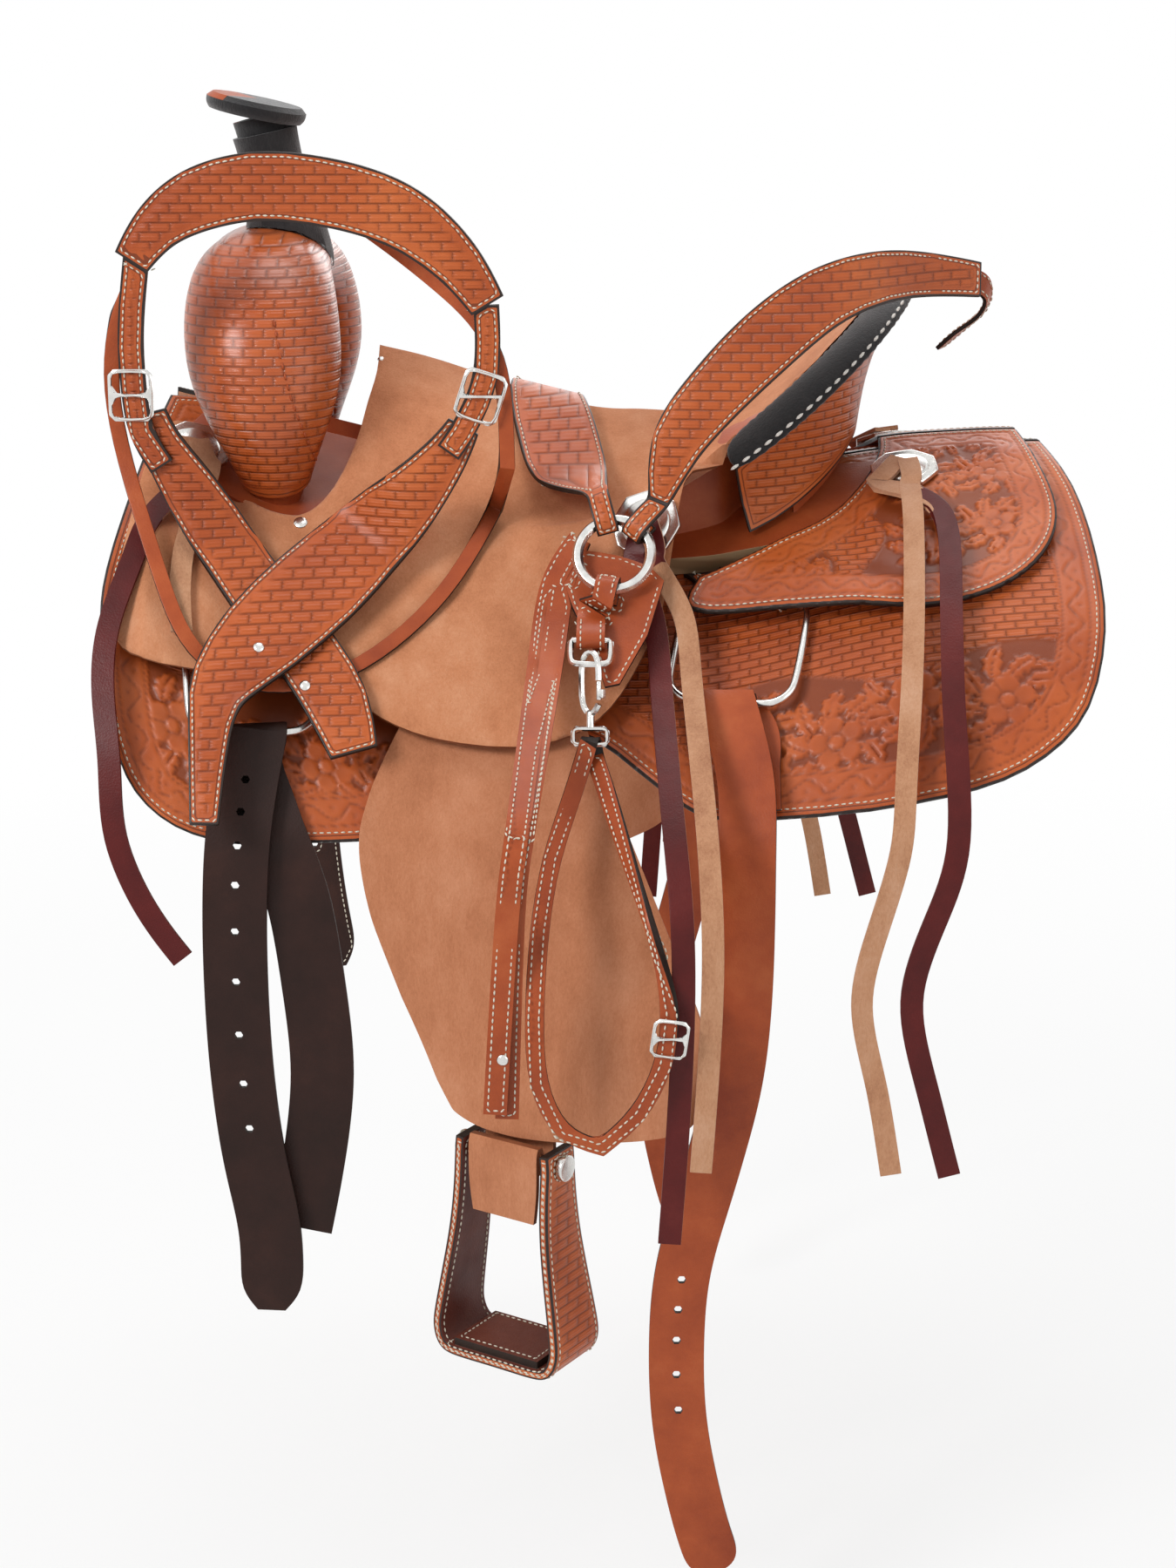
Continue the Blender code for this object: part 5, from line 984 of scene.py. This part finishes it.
# Rear jockeys
jockeySizes = {"spacing": 0.0020, "stitch": 0.0048, "border": 0.0165, "wave": 0.0042, "waveLength": 0.028,
               "margin": 0.0055}
jockeyLine = [(0.080, 0.150), (0.074, 0.178), (0.141, 0.191), (0.202, 0.203), (0.262, 0.205), (0.305, 0.190),
              (0.332, 0.160), (0.342, 0.120), (0.336, 0.060), (0.327, 0.004)]
jockeyInner = [(0.222, 0.004), (0.218, 0.035), (0.200, 0.075), (0.168, 0.112), (0.125, 0.134)]


def jockeyPattern(points, away, along):
    lone = np.array((0.152, 0.163))

    def floral(p):
        corner = p[:, 0] - 0.205 - 0.010 * np.sin(p[:, 1] * 60)
        return np.maximum(corner, 0.027 - np.hypot(p[:, 0] - lone[0], p[:, 1] - lone[1]))
    parts = (vine((0.225, 0.152), (0.318, 0.122), (0.25, 0.75), 0.010, 0.0165),
             vine((0.230, 0.085), (0.322, 0.060), (0.22, 0.74), 0.010, 0.0165),
             vine(lone - (0.02, 0.0), lone + (0.02, 0.0), (0.5,), 0.0, 0.0135),
             vine((0.240, 0.030), (0.320, 0.020), (0.3, 0.8), 0.006, 0.012))
    return tool(points, away, along, floral, joined(parts), jockeySizes)


for way, name in ((-1, "left"), (1, "right")):
    line = np.vstack([smoothLine(jockeyLine, 4), smoothLine(jockeyInner, 4)])
    leatherPanel("rear-jockey-%s-panel" % name, "rear_jockey_" + name, line, rearAt, form["jockey"],
                 jockeySizes["spacing"], jockeyPattern, "tooled", "edge", way, stitch=jockeySizes["stitch"])


# Seat with its jockeys
seatSizes = {"spacing": 0.0026, "line": 0.0035}
seatLine = [(-0.158, 0.0), (-0.158, 0.030), (-0.163, 0.056), (-0.170, 0.085), (-0.186, 0.112), (-0.212, 0.128),
            (-0.240, 0.128), (-0.264, 0.112), (-0.283, 0.085), (-0.300, 0.058), (-0.316, 0.078),
            (-0.328, 0.150),
            (-0.336, 0.235), (-0.334, 0.264), (-0.312, 0.275), (-0.270, 0.270), (-0.220, 0.265),
            (-0.175, 0.260),
            (-0.145, 0.275), (-0.108, 0.284), (-0.052, 0.285), (-0.012, 0.275), (0.016, 0.254), (0.038, 0.217),
            (0.058, 0.170), (0.069, 0.142)]


def seatRing():
    ring = [tuple(p) for p in smoothLine(seatLine, 3)]
    for k in range(1, 9):
        x, y, _ = rimAt(math.radians(90 - 90 * k / 8))
        low, high = 0.0, 0.3
        for _ in range(40):
            middle = (low + high) / 2
            if float(formAt(x, middle, jockeyBottom(x, middle))[1]) < -y:
                low = middle
            else:
                high = middle
        ring.append((x, low if k < 8 else 0.0))
    return np.array(ring)


def seatPattern(points, away, along):
    # Flesh side out all over: only a pressed line follows the edge
    line = np.clip(1 - np.abs(away - seatSizes["line"]) / 0.0012, 0, 1)
    return -0.0003 * line, np.ones(len(away)), np.zeros(len(away))


seatPiece = leatherPanel("seat-panel", "seat_leather", seatRing(), seatAt, form["jockey"],
                         seatSizes["spacing"], seatPattern, "seatNap", "roughEdge", -1, mirror=True)


# Wool lining and the padded cantle roll
woolSizes = {"depth": 0.0042, "tuft": 150.0, "curl": 420.0}
rollSizes = {"pucker": 0.0011, "pitch": 0.0096, "swell": 0.0012, "half": 0.017, "thick": 0.006, "laceAt": 0.80}


def swell(mesh, amount):
    # Moves each vertex along its normal
    places = np.empty(len(mesh.vertices) * 3, np.float32)
    facing = np.empty(len(mesh.vertices) * 3, np.float32)
    mesh.vertices.foreach_get("co", places)
    mesh.vertex_normals.foreach_get("vector", facing)
    places = places.reshape(-1, 3) + facing.reshape(-1, 3) * np.asarray(amount, np.float32)[:, None]
    mesh.vertices.foreach_set("co", places.ravel())
    mesh.update()


def woolPiece():
    bm = copyNode("fleece_lining")
    mesh = bpy.data.meshes.new("wool")
    bm.to_mesh(mesh)
    bm.free()
    item = addItem("wool-lining", mesh, looks["wool"])
    smooth = item.modifiers.new("smooth", "SUBSURF")
    smooth.subdivision_type = "SIMPLE"
    smooth.levels = smooth.render_levels = 3
    bake(item)
    rises = []
    for vert in item.data.vertices:
        tuft = 1 - min(1.0, noise.voronoi(vert.co * woolSizes["tuft"])[0][0] * 1.5)
        curl = noise.noise(vert.co * woolSizes["curl"])
        rises.append(woolSizes["depth"] * (0.55 * tuft + 0.3 * curl - 0.1))
    swell(item.data, rises)
    item.data.shade_smooth()
    settle(item, bodyOf["fleece_lining"], "fleece", "fleece_lining")


def rollFrame(angle):
    # A point on the roll's middle line, and the ways out of the seat and up from it
    tangent = (Vector(rimAt(angle + 0.002)) - Vector(rimAt(angle - 0.002))).normalized()
    plan = Vector((-tangent.y, tangent.x, 0))
    if plan.x < 0:
        plan = -plan
    plan.normalize()
    side = abs(angle) / (math.pi / 2)
    share = min(1.0, side * 1.1)
    drop = math.radians(-12 + 50 * share * share * (3 - 2 * share))
    outward = plan * math.cos(drop) - Vector((0, 0, 1)) * math.sin(drop)
    upward = tangent.cross(outward)
    if upward.z < 0:
        upward = -upward
    upward.normalize()
    place = Vector(rimAt(angle)) + outward * (rollSizes["half"] + 0.0012)
    return place + upward * (0.001 + rollSizes["thick"] * abs(math.sin(angle)) ** 4), outward, upward


def rollPiece():
    s = rollSizes
    item = skin("cantle_roll", "black", levels=3, bevel=0.0)
    path = [rollFrame(math.radians(a)) for a in np.linspace(-77, 77, 160)]
    line = np.array([tuple(p) for p, _, _ in path])
    gaps, walks = segmentDistance([tuple(v.co) for v in item.data.vertices], line[:-1], line[1:])
    share = np.minimum(1.0, gaps / s["half"])
    ripple = np.cos(2 * np.pi * walks / s["pitch"]) * share ** 2
    swell(item.data, s["swell"] * (1 - share) - s["pucker"] * 0.5 * (ripple + 1) * share)
    rise = s["thick"] * math.sqrt(1 - s["laceAt"] * s["laceAt"]) + 0.0003
    run = [p + outward * s["half"] * s["laceAt"] + upward * rise for p, outward, upward in path]
    addRun("saddle", run, False, "whiteThread", 2.0)


woolPiece()
rollPiece()
print("soft pieces made")


# Everything else, skinned from its CAD node
# A line between the two thongs of a pair in the camera's frame, and whether the rough one is on its left
thongs = {
    "front": ([(480, 198), (540, 198), (650, 172), (760, 170), (860, 178), (1100, 260)], False),
    "middle": ([(500, 757), (690, 757), (900, 782), (1085, 795), (1250, 785), (1440, 780)], False),
    "rear": ([(480, 1060), (500, 1065), (955, 1067), (1140, 1012), (1338, 1052)], True),
}


def thongOf(face, place):
    middle = face.calc_center_median()
    offset = Vector((middle.x, -abs(middle.y), middle.z)) - view["place"]
    tilt = view["pitch"]
    ahead = offset.y * math.sin(tilt) - offset.z * math.cos(tilt)
    up = offset.y * math.cos(tilt) + offset.z * math.sin(tilt)
    line, roughLeft = thongs[place]
    between = np.interp(view["tall"] / 2 - up / ahead / pixel, *zip(*line))
    left = view["wide"] / 2 + offset.x / ahead / pixel < between
    return 2 if left == roughLeft else 0


def capOrSide(face):
    return 0 if face.calc_center_median().x < hornSizes["wrapFrom"] and face.normal.z > 0.5 else 1


def woodOrLeather(face):
    return 1 if face.normal.z > -0.1 or face.calc_center_median().z > 0.03 else 0


hornSizes = {"wrapFrom": -0.262}
skin("cantle_back", "tooled", "edge")
skin("fork_cover", "glossy", "blackSmooth", limit=60)
skin("saddle_tree", "wood", "plainTan", levels=1, limit=60, choose=woodOrLeather)
skin("horn", "plainTan", "black", limit=40, choose=capOrSide)
skin("horn_wrap", "black", limit=60, bevel=0.0015)
for side in ("left", "right"):
    for end in ("front", "rear"):
        skin(end + "_rigging_" + side, "tooled", "edge", stitch=0.004, bevel=0.0003, levels=1)
        skin(end + "_dee_" + side, "nickel", bevel=0.0)
    for place in ("front", "middle", "rear"):
        skin("strings_%s_%s" % (place, side), "string", "edge", "stringRough", bevel=0.0004,
             choose=lambda face, p=place: thongOf(face, p))
        skin("concho_%s_%s" % (place, side), "nickel", levels=1, limit=40)
    skin("rear_billet_" + side, "plainTan", "edge")
    skin("fender_" + side, "rough", "roughEdge")
    skin("stirrup_leather_" + side, "rough", "roughEdge")
    skin("stirrup_" + side, "tooled", "edge", "tread", stitch=0.004,
         inner=sum(map(Vector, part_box("stirrup_" + side)), Vector()) / 2)
    skin("stirrup_bolt_" + side, "nickel", levels=1)
    skin("cheek_" + side, "tooled", "edge", stitch=0.003)
    skin("cheek_buckle_" + side, "nickel", levels=1, bevel=0.0004)
seam = [onPiece(skins["fork_cover"], 315 + 55 * k / 40 - 8 * math.sin(math.pi * k / 40), 372 + 172 * k / 40)
        for k in range(41)]
addRun("saddle", [p + n * 0.0004 for p, n in filter(None, seam)], False, "plainTan", 1.5)
skin("latigo", "latigo", "edge")
skin("off_billet", "latigo", "edge", stitch=0.0035)
for node in ("headstall_crown", "collar_arm_near", "collar_arm_long"):
    skin(node, "tooled", "edge", stitch=0.0035)
for node, stitch in (("tug_strap", 0.003), ("collar_gusset", 0.003), ("throat_strap", 0.0),
                     ("tie_strap", 0.003)):
    skin(node, "plainTan", "edge", stitch=stitch)
for node, levels in (("breast_ring", 2), ("collar_dee", 2), ("snap_body", 1), ("snap_gate", 1),
                     ("tie_buckle", 1)):
    skin(node, "nickel", levels=levels, bevel=0.0004)
print("skins made:", len(skins))

rivet(skins["cheek_right"], "headstall", (297, 743))
rivet(skins["cheek_left"], "headstall", (350, 787))
rivet(skins["collar_gusset"], "breast_collar", (577, 1217))
rivet(seatPiece, "saddle", (345, 600), 0.0055)
rivet(seatPiece, "saddle", (437, 412), 0.0025, 0.001)
sewRuns()
setStuds()


# Floor, lights and camera
def plainlySeen(tree):
    # 1 for a ray from the camera, a mirror or glass
    rays = addNode(tree, "ShaderNodeLightPath").outputs
    return calc(tree, "MAXIMUM", calc(tree, "MAXIMUM", rays["Is Camera Ray"], rays["Is Glossy Ray"]),
                rays["Is Transmission Ray"])


def whiteFloor():
    material, tree, shader = startMaterial("paleFloor", Roughness=0.9)
    tint(tree, shader, grain(tree, 2.0), (0.2, 0.8), ((0.86, 0.86, 0.86), (0.90, 0.90, 0.90)))
    seen = plainlySeen(tree)
    glow = {"Strength": times(tree, seen, 1.0), "Color": (1.0, 1.0, 1.0, 1.0)}
    shine = addNode(tree, "ShaderNodeEmission", glow)
    away = addNode(tree, "ShaderNodeVectorMath", {0: objectSpace(tree)}, operation="LENGTH").outputs["Value"]
    share = calc(tree, "MINIMUM", 1.0, calc(tree, "MULTIPLY_ADD", away, 0.16, 0.62))
    mixed = addNode(tree, "ShaderNodeMixShader",
                    {0: times(tree, seen, share), 1: shader.outputs[0], 2: shine.outputs[0]})
    tree.links.new(mixed.outputs[0], tree.nodes["Material Output"].inputs["Surface"])
    return material


floor = makeObject("floor", [(-9, -9, -0.80), (9, -9, -0.80), (9, 9, -0.80), (-9, 9, -0.80)], [(0, 1, 2, 3)],
                   whiteFloor())

world = bpy.data.worlds.new("studio")
bpy.context.scene.world = world
world.use_nodes = True
sky = world.node_tree
plain = sky.nodes["Background"]
plain.inputs["Color"].default_value = (1.0, 1.0, 1.0, 1.0)
plain.inputs["Strength"].default_value = 0.45
bright = addNode(sky, "ShaderNodeBackground", {"Strength": 1.0, "Color": (1.0, 1.0, 1.0, 1.0)})
mixed = addNode(sky, "ShaderNodeMixShader", {0: plainlySeen(sky), 1: plain.outputs[0], 2: bright.outputs[0]})
sky.links.new(mixed.outputs[0], sky.nodes["World Output"].inputs["Surface"])


def areaLight(name, place, target, size, power):
    lamp = bpy.data.lights.new(name, "AREA")
    lamp.size = size
    lamp.energy = power
    item = bpy.data.objects.new(name, lamp)
    item.location = place
    item.rotation_euler = (Vector(target) - Vector(place)).to_track_quat("-Z", "Y").to_euler()
    bpy.context.collection.objects.link(item)


areaLight("key", (-1.7, -1.9, 1.5), (0, 0, -0.1), 0.9, 46)
areaLight("fill", (2.0, -1.6, 0.5), (0, 0, -0.2), 1.6, 9)
areaLight("top", (0.1, 0.3, 2.2), (0, 0, 0), 1.2, 18)
areaLight("back", (0.6, 2.2, 1.0), (0, 0, 0), 1.4, 14)

lens = bpy.data.cameras.new("camera")
lens.sensor_fit = "VERTICAL"
lens.sensor_height = 36.0
lens.lens = view["lens"]
camera = bpy.data.objects.new("camera", lens)
camera.location = view["place"]
camera.rotation_euler = (view["pitch"], 0.0, 0.0)
bpy.context.collection.objects.link(camera)
bpy.context.scene.camera = camera
bpy.context.scene.view_settings.view_transform = "Standard"
